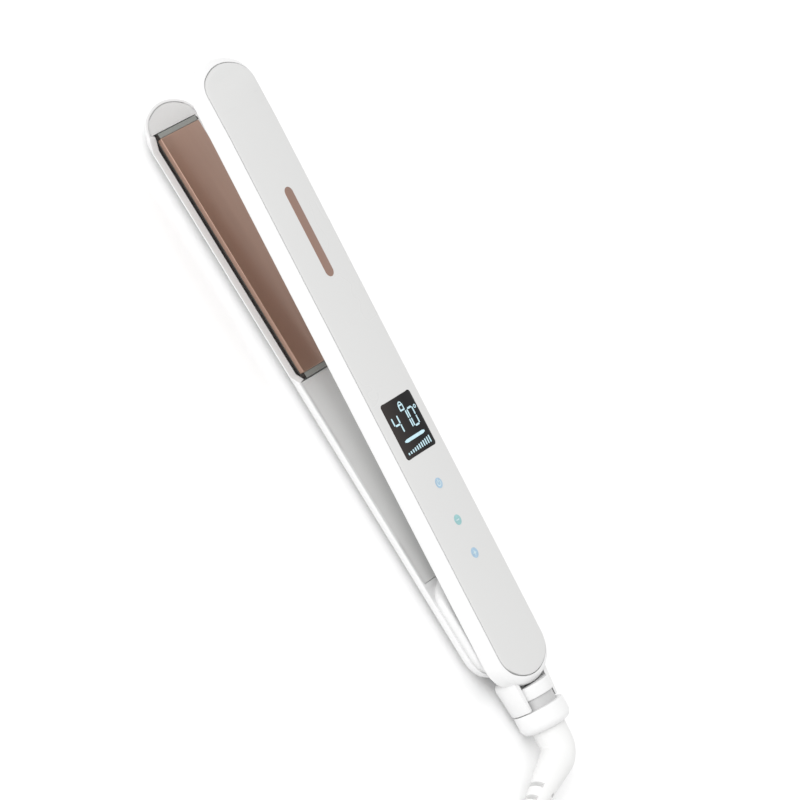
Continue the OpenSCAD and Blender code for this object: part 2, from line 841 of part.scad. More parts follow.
module retaining_clip() color("silver") open_arm()
    swivel_ring(clip_x, clip_x + clip_t, spindle_r, 4.8);

module swivel_collar() color("white") open_arm() {
    round_r = 3;
    translate([collar_x, 0, tail_z]) rotate([0, 90, 0]) rotate_extrude() difference() {
        union() {
            square([collar_r, collar_len - round_r]);
            square([collar_r - round_r, collar_len]);
            translate([collar_r - round_r, collar_len - round_r]) circle(r = round_r);
        }
        translate([0, -over]) square([core_r, collar_len - 1.2 + over]);
        square([relief_r, collar_len + over]);
    }
}

// Length along the relief's middle line up to the end of its bend
relief_root = relief_straight + 1.2;
relief_turn = relief_bend_r * relief_bend * PI / 180;

// Heading of the relief's middle line, s along it
function relief_dir(s) =
    let (a = relief_bend * min(max((s - relief_root) / relief_turn, 0), 1)) [cos(a), -sin(a), 0];

// Point on the relief's middle line, s along it
function relief_point(s) =
    let (d = relief_dir(s), past = max(s - relief_root - relief_turn, 0))
    [min(s, relief_root) + relief_bend_r * -d[1], relief_bend_r * (d[0] - 1), 0] + past * d;

// Radius of the relief, s along it: a taper after the bend, with grooves between its ribs
function relief_radius(s) =
    let (t = s - relief_root - relief_turn)
    t <= 0 ? relief_r : relief_r + (relief_tip_r - relief_r) * t / relief_taper;

// Distances of the relief's rings: its root, its bend, then both lips of every groove
relief_rings = concat([[0, 0], [relief_root, 0]],
    [for (i = [1:10]) [relief_root + relief_turn * i / 10, 0]],
    [for (x = relief_slots, lip = [[-slot_w / 2, 0], [0.15 - slot_w / 2, groove_d],
        [slot_w / 2 - 0.15, groove_d], [slot_w / 2, 0]])
        [relief_root + relief_turn + x + lip[0], lip[1]]],
    [[relief_root + relief_turn + relief_taper, 0]]);

module strain_relief() color("whitesmoke")
    open_arm() translate([collar_end - 1.2, 0, tail_z]) rotate([relief_droop, 0, 0])
        tube([for (k = relief_rings) relief_point(k[0])], [for (k = relief_rings) relief_dir(k[0])],
            [for (k = relief_rings) relief_radius(k[0]) - k[1]], 24);

// ---- cord ----

// Unit vector along a route at point i
function route_dir(path, i) =
    let (a = path[max(i - 1, 0)], b = path[min(i + 1, len(path) - 1)]) (b - a) / norm(b - a);

// Ring of points round a route point
function route_ring(p, d, r, sides) =
    let (u = cross(d, [0, 0, 1]) / norm(cross(d, [0, 0, 1])), v = cross(u, d))
    [for (k = [0:sides - 1]) p + r * (cos(360 * k / sides) * u + sin(360 * k / sides) * v)];

// Closed tube through a list of points, with a direction and a radius at each
module tube(path, dirs, radii, sides = 10) {
    n = len(path);
    points = [for (i = [0:n - 1]) each route_ring(path[i], dirs[i], radii[i], sides)];
    walls = [for (i = [0:n - 2], k = [0:sides - 1])
        let (a = i * sides + k, b = i * sides + (k + 1) % sides)
        each [[a, b + sides, b], [a, a + sides, b + sides]]];
    caps = [[for (k = [0:sides - 1]) k], [for (k = [sides - 1:-1:0]) (n - 1) * sides + k]];
    polyhedron(points = points, faces = concat(walls, caps));
}

// Cord along a route
module cord(path) {
    tube(path, [for (i = [0:len(path) - 1]) route_dir(path, i)], [for (p = path) cord_d / 2]);
}

module cord_lead() color("white") cord(lead_route);
module cord_end() color("white") cord(end_route);

// Folded spare cord: a long loop of stacked turns, nicked where the tie passes under it
module cord_hank() color("white") difference() {
    translate([hank_x, hank_mid_y, 0]) difference() {
        linear_extrude(hank_h) loop_plan(hank_out_r);
        translate([0, 0, -over]) linear_extrude(hank_h + 2 * over) loop_plan(hank_in_r);
    }
    tie_place() translate([0, 0, -over]) cube([tie_w, hank_out_r - hank_in_r + over, tie_t + over]);
}

// Outline with round ends round the hank's two fold centres
module loop_plan(r) {
    translate([0, -r]) square([hank_run, 2 * r]);
    for (x = [0, hank_run])
        translate([x, 0]) circle(r = r);
}

// Low corner of the tie, halfway along the hank's far run
module tie_place() {
    translate([hank_x + (hank_run - tie_w) / 2, hank_mid_y + hank_in_r, 0]) children();
}

// Strap round one run of the hank
module cord_tie() color("white") tie_place() difference() {
    translate([0, -tie_t, 0]) cube([tie_w, hank_out_r - hank_in_r + 2 * tie_t, hank_h + tie_t]);
    translate([-over, 0, tie_t]) cube([tie_w + 2 * over, hank_out_r - hank_in_r, hank_h - tie_t]);
}

module plug_body() color("white") translate([plug_x, plug_y, plug_z]) rotate([0, 90, 0]) {
    cylinder(r1 = cord_d / 2 + 0.5, r2 = 5.5, h = 16);
    translate([0, 0, 16]) linear_extrude(18) union() {
        square([11, 22], center = true);
        square([13, 18], center = true);
    }
}

module plug_blades() color("silver") translate([plug_x + 34, plug_y, plug_z]) {
    translate([0, 6.35 - 0.75, -4]) cube([17, 1.5, 8]);
    translate([0, -6.35 - 0.75, -3.15]) cube([17, 1.5, 6.3]);
}

upper_housing();
upper_inner_cover();
top_panel();
display_window();
display_module();
circuit_board();
main_chip();
power_triac();
smoothing_capacitor();
push_switches();
power_button();
minus_button();
plus_button();
inner_cover_screws();
upper_plate();
upper_plate_holder();
upper_heater();
upper_insulation();
upper_cushions();
thermal_fuse();
upper_heater_leads();
link_leads();
supply_leads();
brush_contacts();
hinge_bushes();
lower_housing();
lower_inner_cover();
hinge_cover();
hinge_cover_screws();
lower_plate();
lower_plate_holder();
lower_heater();
lower_insulation();
lower_cushions();
heat_sensor();
lower_heater_leads();
hinge_pin();
opening_spring();
swivel_hub();
slip_rings();
retaining_clip();
swivel_collar();
strain_relief();
cord_lead();
cord_hank();
cord_end();
cord_tie();
plug_body();
plug_blades();
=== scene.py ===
import json
from math import asin, atan2, cos, pi, radians, sin, sqrt

import bmesh
import bpy
from mathutils import Matrix, Vector
from mathutils.geometry import interpolate_bezier


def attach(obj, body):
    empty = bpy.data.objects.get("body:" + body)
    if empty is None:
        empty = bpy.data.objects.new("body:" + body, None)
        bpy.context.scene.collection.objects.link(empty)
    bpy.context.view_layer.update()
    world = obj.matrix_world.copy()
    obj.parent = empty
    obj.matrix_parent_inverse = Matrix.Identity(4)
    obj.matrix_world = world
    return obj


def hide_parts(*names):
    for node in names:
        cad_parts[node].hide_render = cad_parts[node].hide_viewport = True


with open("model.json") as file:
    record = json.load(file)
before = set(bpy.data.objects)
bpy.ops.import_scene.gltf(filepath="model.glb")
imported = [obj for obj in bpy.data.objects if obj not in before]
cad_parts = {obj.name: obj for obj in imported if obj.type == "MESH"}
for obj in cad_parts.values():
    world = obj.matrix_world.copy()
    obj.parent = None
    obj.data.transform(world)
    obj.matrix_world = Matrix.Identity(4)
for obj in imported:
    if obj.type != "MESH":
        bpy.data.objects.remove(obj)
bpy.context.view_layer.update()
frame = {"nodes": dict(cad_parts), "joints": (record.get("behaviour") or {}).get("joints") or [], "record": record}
bpy.ops.object.select_all(action="DESELECT")
print("stage: frame loaded")

# The arms are modelled closed, in millimetres from the upper tip, with the plates meeting at z = 0.
# Two matrices then lay them on the table: the lower arm flat, the upper one turned open.
mm = 0.001
joints = {j["name"]: j for j in frame["joints"]}
hingePlace = Vector(joints["arm_hinge"]["pos_m"])
swivelAxis = Vector(joints["cord_swivel"]["axis"])
openTurn = atan2(-swivelAxis.z, swivelAxis.x)
hingeX = 242.4
lowerLayout = Matrix.Translation(hingePlace) @ Matrix.Scale(mm, 4) @ Matrix.Translation((-hingeX, 0, 0))
upperLayout = (Matrix.Translation(hingePlace) @ Matrix.Rotation(openTurn, 4, "Y")
               @ Matrix.Scale(mm, 4) @ Matrix.Translation((-hingeX, 0, 0)))
tableLayout = Matrix.Scale(mm, 4)

# camera place in metres, its turn in degrees and its lens in millimetres
view = {
    "place": (-0.00715, -1.55612, 1.25240),
    "turn": (33.441, -42.290, 45.080),
    "lens": 240.3, "nearest": 0.05, "farthest": 30,
}
# an even bright sky, a wide lamp over the near side and a weak one opposite
studio = {
    "skyStrength": 0.95,
    "keyPower": 26, "keyPlace": (-0.9, -1.6, 1.5), "keySize": 1.6,
    "fillPower": 3, "fillPlace": (1.4, 0.9, 1.3), "fillSize": 1.8,
    "floorSize": 9, "floorDrop": 0.0002,
}


def setUpCamera():
    bpy.ops.object.camera_add(location=view["place"], rotation=[radians(a) for a in view["turn"]])
    camera = bpy.context.object
    camera.name = "viewCamera"
    camera.data.lens = view["lens"]
    camera.data.clip_start = view["nearest"]
    camera.data.clip_end = view["farthest"]
    bpy.context.scene.camera = camera


def addSoftLight(name, place, size, power):
    bpy.ops.object.light_add(type="AREA", location=place)
    light = bpy.context.object
    light.name = name
    light.data.size = size
    light.data.energy = power
    light.rotation_euler = (-Vector(place)).to_track_quat("-Z", "Y").to_euler()


def setUpStudio():
    scene = bpy.context.scene
    scene.view_settings.view_transform = "Standard"
    world = bpy.data.worlds.new("softSky")
    world.use_nodes = True
    sky = world.node_tree.nodes["Background"]
    sky.inputs["Color"].default_value = (1, 1, 1, 1)
    sky.inputs["Strength"].default_value = studio["skyStrength"]
    scene.world = world
    addSoftLight("keyLight", studio["keyPlace"], studio["keySize"], studio["keyPower"])
    addSoftLight("fillLight", studio["fillPlace"], studio["fillSize"], studio["fillPower"])
    bpy.ops.mesh.primitive_plane_add(size=studio["floorSize"], location=(0, 0, -studio["floorDrop"]))
    floor = bpy.context.object
    floor.name = "paleFloor"
    floor.data.materials.append(floorPaper())


def newMaterial(name, colour, roughness, metallic=0.0, coat=0.0, coatRoughness=0.12):
    material = bpy.data.materials.new(name)
    material.use_nodes = True
    shader = material.node_tree.nodes["Principled BSDF"]
    shader.inputs["Base Color"].default_value = (*colour, 1)
    shader.inputs["Roughness"].default_value = roughness
    shader.inputs["Metallic"].default_value = metallic
    shader.inputs["Coat Weight"].default_value = coat
    shader.inputs["Coat Roughness"].default_value = coatRoughness
    return material, material.node_tree, shader


def addNoise(tree, scale, stretch=(1, 1, 1), detail=3):
    # noise laid on the object's own coordinates, stretched along one axis where wanted
    place = tree.nodes.new("ShaderNodeTexCoord")
    mapping = tree.nodes.new("ShaderNodeMapping")
    mapping.inputs["Scale"].default_value = stretch
    noise = tree.nodes.new("ShaderNodeTexNoise")
    noise.inputs["Scale"].default_value = scale
    noise.inputs["Detail"].default_value = detail
    tree.links.new(place.outputs["Object"], mapping.inputs["Vector"])
    tree.links.new(mapping.outputs["Vector"], noise.inputs["Vector"])
    return noise


def rampTo(tree, source, socket, low, high, edges=(0.3, 0.7)):
    # spreads a noise between two grey values or two colours
    ramp = tree.nodes.new("ShaderNodeValToRGB")
    for element, edge, value in zip(ramp.color_ramp.elements, edges, (low, high)):
        element.position = edge
        element.color = (value,) * 3 + (1,) if isinstance(value, float) else (*value, 1)
    tree.links.new(source.outputs["Fac"], ramp.inputs["Fac"])
    tree.links.new(ramp.outputs["Color"], socket)


def paintedLightAcross(tree, shader, look, first, last, bothSides=False):
    # paints light or shade across the iron: runs from the first colour to the last, or from its middle out to both
    # sides
    place = tree.nodes.new("ShaderNodeTexCoord")
    split = tree.nodes.new("ShaderNodeSeparateXYZ")
    tree.links.new(place.outputs["Object"], split.inputs["Vector"])
    across = split.outputs["Y"]
    if bothSides:
        distance = tree.nodes.new("ShaderNodeMath")
        distance.operation = "ABSOLUTE"
        tree.links.new(across, distance.inputs[0])
        across = distance.outputs["Value"]
    spread = tree.nodes.new("ShaderNodeMapRange")
    spread.inputs["From Min"].default_value = look["from"]
    spread.inputs["From Max"].default_value = look["to"]
    ramp = tree.nodes.new("ShaderNodeValToRGB")
    ramp.color_ramp.elements[0].color = (*first, 1)
    ramp.color_ramp.elements[1].color = (*last, 1)
    tree.links.new(across, spread.inputs["Value"])
    tree.links.new(spread.outputs["Result"], ramp.inputs["Fac"])
    tree.links.new(ramp.outputs["Color"], shader.inputs["Base Color"])


def addBump(tree, shader, source, strength, depth):
    bump = tree.nodes.new("ShaderNodeBump")
    bump.inputs["Strength"].default_value = strength
    bump.inputs["Distance"].default_value = depth
    tree.links.new(source.outputs["Fac"], bump.inputs["Height"])
    tree.links.new(bump.outputs["Normal"], shader.inputs["Normal"])

# how gloss, shade and grain vary over moulded plastic
plasticLook = {
    "glossNoise": 22, "smoother": 0.05, "rougher": 0.06,
    "cloudNoise": 9, "darker": 0.02, "bump": 0.25, "depth": 0.00002,
}


def mouldedPlastic(name, colour, roughness=0.34, coat=0.15, grain=2600):
    look = plasticLook
    material, tree, shader = newMaterial(name, colour, roughness, coat=coat)
    rampTo(tree, addNoise(tree, look["glossNoise"]), shader.inputs["Roughness"],
           roughness - look["smoother"], roughness + look["rougher"])
    shade = [c * (1 - look["darker"]) for c in colour]
    rampTo(tree, addNoise(tree, look["cloudNoise"]), shader.inputs["Base Color"], shade, colour)
    addBump(tree, shader, addNoise(tree, grain), look["bump"], look["depth"])
    return material


# satin coating with very fine lengthways brushing under it
ceramicLook = {
    "roughness": 0.36, "metallic": 0.55, "coat": 0.2, "gloss": (0.30, 0.42),
    "brushNoise": 420, "brushStretch": (0.04, 1, 1), "brushDetail": 4,
    "cloudNoise": 14, "cloudStretch": (0.5, 1, 1), "bump": 0.08, "depth": 0.00001,
}


def ceramicCoat(name, colour, edge):
    look = ceramicLook
    material, tree, shader = newMaterial(name, colour, look["roughness"], look["metallic"], look["coat"])
    brushed = addNoise(tree, look["brushNoise"], look["brushStretch"], look["brushDetail"])
    rampTo(tree, brushed, shader.inputs["Roughness"], *look["gloss"])
    cloud = addNoise(tree, look["cloudNoise"], look["cloudStretch"])
    rampTo(tree, cloud, shader.inputs["Base Color"], edge, colour)
    addBump(tree, shader, brushed, look["bump"], look["depth"])
    return material


# drawn metal, its marks long in one direction
metalLook = {
    "roughness": 0.28, "drawnNoise": 900, "drawnStretch": (0.1, 1, 1),
    "smoother": 0.06, "rougher": 0.1, "bump": 0.1, "depth": 0.00001,
}


def drawnMetal(name, colour):
    look = metalLook
    material, tree, shader = newMaterial(name, colour, look["roughness"], metallic=1.0)
    drawn = addNoise(tree, look["drawnNoise"], look["drawnStretch"])
    rampTo(tree, drawn, shader.inputs["Roughness"],
           look["roughness"] - look["smoother"], look["roughness"] + look["rougher"])
    addBump(tree, shader, drawn, look["bump"], look["depth"])
    return material


# dark glass with a painted reflection: warm grey towards the near side, near black at the far side; from and to
# are metres across the iron
glassLook = {
    "colour": (0.004, 0.004, 0.005), "near": (0.032, 0.026, 0.024), "far": (0.003, 0.003, 0.004),
    "from": -0.0102, "to": 0.004, "roughness": 0.08, "specular": 0.16,
    "smudgeNoise": 60, "gloss": (0.06, 0.14),
}


def blackGlassPaintedReflection():
    look = glassLook
    material, tree, shader = newMaterial("blackGlassPaintedReflection", look["colour"], look["roughness"])
    shader.inputs["Specular IOR Level"].default_value = look["specular"]
    # painted reflection: the glass is lighter and warmer towards the near side
    paintedLightAcross(tree, shader, look, look["near"], look["far"])
    rampTo(tree, addNoise(tree, look["smudgeNoise"]), shader.inputs["Roughness"], *look["gloss"])
    return material


# grey resin, with painted shade: near black outside the plate's width, standing in for the shadow in the gap
# between plate and rim
holderLook = {
    "middle": (0.26, 0.27, 0.255), "sides": (0.018, 0.013, 0.011), "from": 0.0123, "to": 0.0126,
    "roughness": 0.5, "grain": 1800, "bump": 0.2, "depth": 0.00002,
}


def holderPlastic():
    look = holderLook
    material, tree, shader = newMaterial("holderGrey", look["middle"], look["roughness"])
    # painted shade: the holder turns near black beside the plate, where the gap to the rim lies in shadow
    paintedLightAcross(tree, shader, look, look["middle"], look["sides"], bothSides=True)
    addBump(tree, shader, addNoise(tree, look["grain"]), look["bump"], look["depth"])
    return material


def litSegment(name, colour, glow, roughness=0.5, grain=500, dim=0.85):
    # glow is 0 for a printed mark
    material, tree, shader = newMaterial(name, colour, roughness)
    shader.inputs["Emission Color"].default_value = (*colour, 1)
    shader.inputs["Emission Strength"].default_value = glow
    rampTo(tree, addNoise(tree, grain), shader.inputs["Base Color"], [c * dim for c in colour], colour)
    return material


paper = {"colour": (0.97, 0.97, 0.97), "roughness": 0.9, "cloudNoise": 3, "shades": (0.96, 0.975)}


def floorPaper():
    material, tree, shader = newMaterial("floorPaper", paper["colour"], paper["roughness"])
    rampTo(tree, addNoise(tree, paper["cloudNoise"]), shader.inputs["Base Color"], *paper["shades"])
    return material


whiteShell = mouldedPlastic("whiteShell", (0.76, 0.76, 0.76), 0.36)
panelPearl = mouldedPlastic("panelPearl", (0.615, 0.615, 0.61), 0.30, coat=0.25)
innerWhite = mouldedPlastic("innerWhite", (0.66, 0.66, 0.655), 0.40, coat=0.05)
roseCeramic = ceramicCoat("roseCeramic", (0.385, 0.245, 0.185), (0.33, 0.205, 0.155))
roseMark = ceramicCoat("roseMark", (0.33, 0.21, 0.165), (0.26, 0.16, 0.125))
holderGrey = holderPlastic()
displayGlass = blackGlassPaintedReflection()
paleCyan = litSegment("paleCyan", (0.42, 0.60, 0.66), 0.30)
iconBlue = litSegment("iconBlue", (0.36, 0.52, 0.66), 0.0)
iconTeal = litSegment("iconTeal", (0.29, 0.52, 0.53), 0.0)
iconPale = litSegment("iconPale", (0.58, 0.70, 0.74), 0.0)
coreGrey = mouldedPlastic("coreGrey", (0.50, 0.50, 0.50), 0.4, coat=0.0)
cordWhite = mouldedPlastic("cordWhite", (0.76, 0.76, 0.755), 0.48, coat=0.0, grain=1800)
steelBright = drawnMetal("steelBright", (0.62, 0.62, 0.63))
brassBright = drawnMetal("brassBright", (0.74, 0.56, 0.28))
print("stage: materials made")

# the finish of each material slot
cadFinish = {
    "shell_white": whiteShell, "panel_grey": panelPearl, "inner_white": innerWhite,
    "display_glass": displayGlass, "key_blue": iconBlue, "plate_rose": roseCeramic,
    "holder_grey": holderGrey, "steel": steelBright, "brass": brassBright,
    "cord_white": cordWhite, "tie_white": cordWhite,
    "ceramic": mouldedPlastic("firedCeramic", (0.78, 0.74, 0.66), 0.7, coat=0.0),
    "film": mouldedPlastic("amberFilm", (0.50, 0.24, 0.04), 0.25),
    "silicone": mouldedPlastic("redSilicone", (0.45, 0.06, 0.04), 0.6, coat=0.0),
    "board_green": mouldedPlastic("boardGreen", (0.02, 0.12, 0.05), 0.35),
    "black_part": mouldedPlastic("blackPart", (0.02, 0.02, 0.02), 0.5, coat=0.0),
    "capacitor": mouldedPlastic("capacitorYellow", (0.60, 0.36, 0.05), 0.4),
    "bush": mouldedPlastic("ivoryBush", (0.62, 0.56, 0.42), 0.45, coat=0.0),
    "lead_white": mouldedPlastic("whiteSleeve", (0.74, 0.74, 0.72), 0.8, coat=0.0, grain=1200),
    "lead_black": mouldedPlastic("blackSleeve", (0.03, 0.03, 0.03), 0.6, coat=0.0),
}


def finishCadNodes():
    slots = {s["node"]: s["material_slot"] for s in frame["record"]["subparts"]}
    for name, node in frame["nodes"].items():
        node.data.materials.clear()
        node.data.materials.append(cadFinish[slots[name]])


def addRings(name, rings, capFirst=True, capLast=True, weld=0.0001):
    # a circle whose edge is extruded from ring to ring, each laid on its own outline
    count = len(rings[0])
    bpy.ops.object.select_all(action="DESELECT")
    bpy.ops.mesh.primitive_circle_add(vertices=count, radius=1, fill_type="NOTHING")
    piece = bpy.context.object
    piece.name = name
    bpy.ops.object.mode_set(mode="EDIT")
    shape = bmesh.from_edit_mesh(piece.data)
    station = shape.verts.layers.int.new("station")
    level = shape.verts.layers.int.new("level")
    for i, vert in enumerate(shape.verts):
        vert[station] = i
        vert.co = rings[0][i]
    bmesh.update_edit_mesh(piece.data)
    bpy.ops.mesh.select_all(action="SELECT")
    for n, ring in enumerate(rings[1:], 1):
        bpy.ops.mesh.extrude_edges_move()
        shape = bmesh.from_edit_mesh(piece.data)
        for vert in shape.verts:
            if vert.select:
                vert[level] = n
                vert.co = ring[vert[station]]
        bmesh.update_edit_mesh(piece.data)
    if capLast:
        bpy.ops.mesh.edge_face_add()
    if capFirst:
        bpy.ops.mesh.select_all(action="DESELECT")
        shape = bmesh.from_edit_mesh(piece.data)
        for vert in shape.verts:
            vert.select = vert[level] == 0
        shape.select_flush(True)
        bmesh.update_edit_mesh(piece.data)
        bpy.ops.mesh.edge_face_add()
    bpy.ops.mesh.select_all(action="SELECT")
    bpy.ops.mesh.remove_doubles(threshold=weld)
    bpy.ops.mesh.normals_make_consistent(inside=False)
    bpy.ops.object.mode_set(mode="OBJECT")
    return piece


def cutAcross(piece, places, axis, keep):
    # bisects the chosen faces at each place along an axis
    normal = [0, 0, 0]
    normal[axis] = 1
    for place in places:
        bpy.ops.object.mode_set(mode="EDIT")
        bpy.ops.mesh.select_mode(type="FACE")
        bpy.ops.mesh.select_all(action="DESELECT")
        shape = bmesh.from_edit_mesh(piece.data)
        for face in shape.faces:
            face.select = keep(face)
        bmesh.update_edit_mesh(piece.data)
        spot = [0, 0, 0]
        spot[axis] = place
        bpy.ops.mesh.bisect(plane_co=spot, plane_no=normal)
        bpy.ops.mesh.select_mode(type="VERT")
        bpy.ops.object.mode_set(mode="OBJECT")


def selectOnly(*pieces):
    bpy.ops.object.select_all(action="DESELECT")
    for piece in pieces:
        piece.select_set(True)
    bpy.context.view_layer.objects.active = pieces[0]


def joinPieces(name, pieces):
    selectOnly(*pieces)
    bpy.ops.object.join()
    pieces[0].name = name
    return pieces[0]


def finishPiece(piece, layout, body, material, stands=(), angle=32):
    # smooths it, lays it on the table and fixes its place in the mesh
    selectOnly(piece)
    bpy.ops.object.shade_smooth_by_angle(angle=radians(angle))
    piece.matrix_world = layout @ piece.matrix_world
    bpy.ops.object.transform_apply(location=True, rotation=True, scale=True)
    if material:
        piece.data.materials.clear()
        piece.data.materials.append(material)
    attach(piece, body)
    if stands:
        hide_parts(*stands)
    return piece


def addBevel(piece, width, segments=3, angle=35):
    selectOnly(piece)
    bevel = piece.modifiers.new("softEdge", "BEVEL")
    bevel.width = width
    bevel.segments = segments
    bevel.limit_method = "ANGLE"
    bevel.angle_limit = radians(angle)
    bpy.ops.object.modifier_apply(modifier="softEdge")


# the rounded outline of both arms, in millimetres and in shares of the half width
arm = {
    "half": 17.0, "noseRatio": 24 / 17, "cornerRatio": 10 / 17, "rearNoseRatio": 21 / 17,
    "rearCornerRatio": 11.5 / 17, "endSteps": 28, "endGap": 0.3, "stopGap": 0.1,
}


def endArc(half, noseRatio, cornerRatio):
    # one rounded end as (depth behind the nose, y), from the near side to the far side
    nose, corner = half * noseRatio, half * cornerRatio
    yc = half - corner
    reach = nose - sqrt((nose - corner) ** 2 - yc ** 2)
    join = atan2(yc, nose - reach)
    spots = []
    for i in range(arm["endSteps"] + 1):
        a = -pi / 2 + pi * i / arm["endSteps"]
        if abs(a) <= join:
            spots.append((nose - nose * cos(a), nose * sin(a)))
        else:
            side = 1 if a > 0 else -1
            spots.append((reach - corner * cos(a), side * yc + corner * sin(a)))
    return spots


def armOutline(x0, x1, half, sideStops=()):
    # closed outline, anticlockwise seen from above; sideStops are extra points along both sides
    front = [(x0 + d, y) for d, y in endArc(half, arm["noseRatio"], arm["cornerRatio"])]
    rear = [(x1 - d, y) for d, y in endArc(half, arm["rearNoseRatio"], arm["rearCornerRatio"])]
    first, last = front[0][0] + arm["endGap"], rear[0][0] - arm["endGap"]
    stops = [min(max(x, first + arm["stopGap"] * i), last) for i, x in enumerate(sideStops)]
    farSide = [(x, half) for x in reversed(stops)]
    nearSide = [(x, -half) for x in stops]
    return list(reversed(front)) + nearSide + rear + farSide


# upper casing; heights are above the plane where the plates meet
upper = {
    "length": 260, "edge": 2.85, "top": 11.0, "dipLength": 22, "dip": 2.8,
    "edgeRound": 3.0, "crown": 180, "tipRim": 1.53, "rearRim": 1.6, "sideStops": (30, 120, 220),
    # up the inside, round the lower lip and up the side: (inset, height)
    "wall": ((1.8, 7.9), (1.8, 4.4), (1.78, 3.3), (1.6, 2.98), (1.3, 2.86), (0.45, 2.85),
             (0.16, 2.93), (0.03, 3.12), (0, 3.4), (0, 5.6)),
    "shoulder": (0, 60, 7),  # turn of the rounded edge, from and to, and its steps
    # into the groove round the panel: (inset past the panel's, height)
    "panelInset": 1.7, "groove": ((-0.05, 10.62), (0, 10.5), (0, 9.55)),
    "tipCuts": range(4, 23, 3), "manySided": 20,
}


def topDip(x):
    run, drop = upper["dipLength"], upper["dip"]
    radius = (run ** 2 + drop ** 2) / (2 * drop)
    back = max(run - x, 0)
    return radius - sqrt(radius ** 2 - back ** 2)


def onUpperArm(x, y, z):
    # sinks a point with the tip's dip and the top's slight crown, the more the higher it is
    rise = max(z - upper["edge"], 0) / (upper["top"] - upper["edge"])
    return (x, y, z - rise * (topDip(x) + y * y / (2 * upper["crown"])))


def upperRing(inset, z):
    outline = armOutline(inset * upper["tipRim"], upper["length"] - inset * upper["rearRim"],
                         arm["half"] - inset, upper["sideStops"])
    return [onUpperArm(x, y, z) for x, y in outline]


def roundedTop(fromAngle, toAngle, steps):
    # rings over the rounded top edge
    r = upper["edgeRound"]
    turns = [radians(fromAngle + (toAngle - fromAngle) * i / steps) for i in range(steps + 1)]
    return [upperRing(r * (1 - cos(a)), upper["top"] - r + r * sin(a)) for a in turns]


def makeUpperShell():
    u = upper
    rings = [upperRing(inset, z) for inset, z in u["wall"]] + roundedTop(*u["shoulder"])
    rings += [upperRing(u["panelInset"] + past, z) for past, z in u["groove"]]
    shell = addRings("upperShell", rings)
    cutAcross(shell, u["tipCuts"], 0, lambda face: len(face.verts) > u["manySided"])
    return finishPiece(shell, upperLayout, "upper_arm", whiteShell, ["upper_housing"])


# inlaid panel: its skirt as (inset past the seam, height), and where its face is cut to follow the crown
panel = {
    "seam": 0.28, "skirt": ((0, 9.62), (0, 10.5), (0.03, 10.64), (0.1, 10.75)), "shoulder": (70, 90, 4),
    "cutsAlong": (6, 8, 10, 12, 14, 16, 18, 20, 22, 60, 120, 180, 240, 246, 251),
    "cutsAcross": (-11, -7, -3.5, 0, 3.5, 7, 11), "cutAbove": 9,
    "faceAbove": 9.8, "faceHalf": 13.9, "faceStart": 5.5, "faceEnd": 254,
}


def makeTopPanel():
    p = panel
    edge = upper["panelInset"] + p["seam"]
    rings = [upperRing(edge + past, z) for past, z in p["skirt"]] + roundedTop(*p["shoulder"])
    piece = addRings("topPanel", rings)
    for cuts, axis in ((p["cutsAlong"], 0), (p["cutsAcross"], 1)):
        cutAcross(piece, cuts, axis,
                  lambda face: len(face.verts) > 4 and face.calc_center_median().z > p["cutAbove"])
    for vert in piece.data.vertices:
        x, y, z = vert.co
        if z > p["faceAbove"] and abs(y) < p["faceHalf"] and p["faceStart"] < x < p["faceEnd"]:
            vert.co.z = onUpperArm(x, y, upper["top"])[2]
    return finishPiece(piece, upperLayout, "upper_arm", panelPearl, ["top_panel"], angle=50)


def onPanel(x, y, lift=0.0):
    return Vector(onUpperArm(x, y, upper["top"] + lift))


def softRectRing(shape, lift, inset=0.0, steps=8):
    # rounded rectangle with evenly spaced stops, laid on the crowned top
    spots = []
    corner = shape["corner"]
    middle = shape["start"] + shape["length"] / 2
    cx, cy = shape["length"] / 2 - corner, shape["width"] / 2 - corner
    r = max(corner - inset, 0.02)  # never quite a point
    for quarter, (sx, sy) in enumerate(((1, 1), (-1, 1), (-1, -1), (1, -1))):
        for i in range(steps + 1):
            a = radians(90 * quarter + 90 * i / steps)
            spots.append((middle + sx * cx + r * cos(a), sy * cy + r * sin(a)))
    return [onPanel(x, y, lift) for x, y in spots]


def isLargeTop(normal, area, level=0.9, smallest=1):
    return normal.z > level and area > smallest


def makeInset(name, shape):
    # an inlay in the panel: its flat top is cut into strips, which are laid on the crown
    piece = addRings(name, [softRectRing(shape, lift, inset) for lift, inset in shape["rings"]])
    strips = [shape["start"] + shape["length"] * i / shape["strips"] for i in range(1, shape["strips"])]
    for places, axis in ((shape["cutsAcross"], 1), (strips, 0)):
        cutAcross(piece, places, axis, lambda face: isLargeTop(face.normal, face.calc_area()))
    tops = {i for face in piece.data.polygons if isLargeTop(face.normal, face.area) for i in face.vertices}
    for i in tops:
        spot = piece.data.vertices[i].co
        spot.z = onPanel(spot.x, spot.y, shape["rings"][-1][0]).z
    return piece


# display glass: rings are (lift above the panel, inset)
window = {
    "start": 141.9, "length": 23.2, "width": 20.6, "corner": 1.5, "strips": 6,
    "cutsAcross": range(-9, 10, 3), "rings": ((-1.0, 0.12), (-0.06, 0.12), (0.02, 0.16), (0.06, 0.3)),
}
# a plain pill set lengthways in the panel
pill = {
    "start": 54.5, "length": 37, "width": 4.8, "corner": 2.38, "strips": 6,
    "cutsAcross": range(-9, 10, 3), "rings": ((-0.3, 0), (0.0, 0.0), (0.05, 0.04), (0.07, 0.16)),
}


def makeDisplay():
    glass = makeInset("displayGlass", window)
    return finishPiece(glass, upperLayout, "upper_arm", displayGlass, ["display_window"])


def makeRoseInlay():
    inlay = makeInset("roseInlay", pill)
    return finishPiece(inlay, upperLayout, "upper_arm", roseMark)


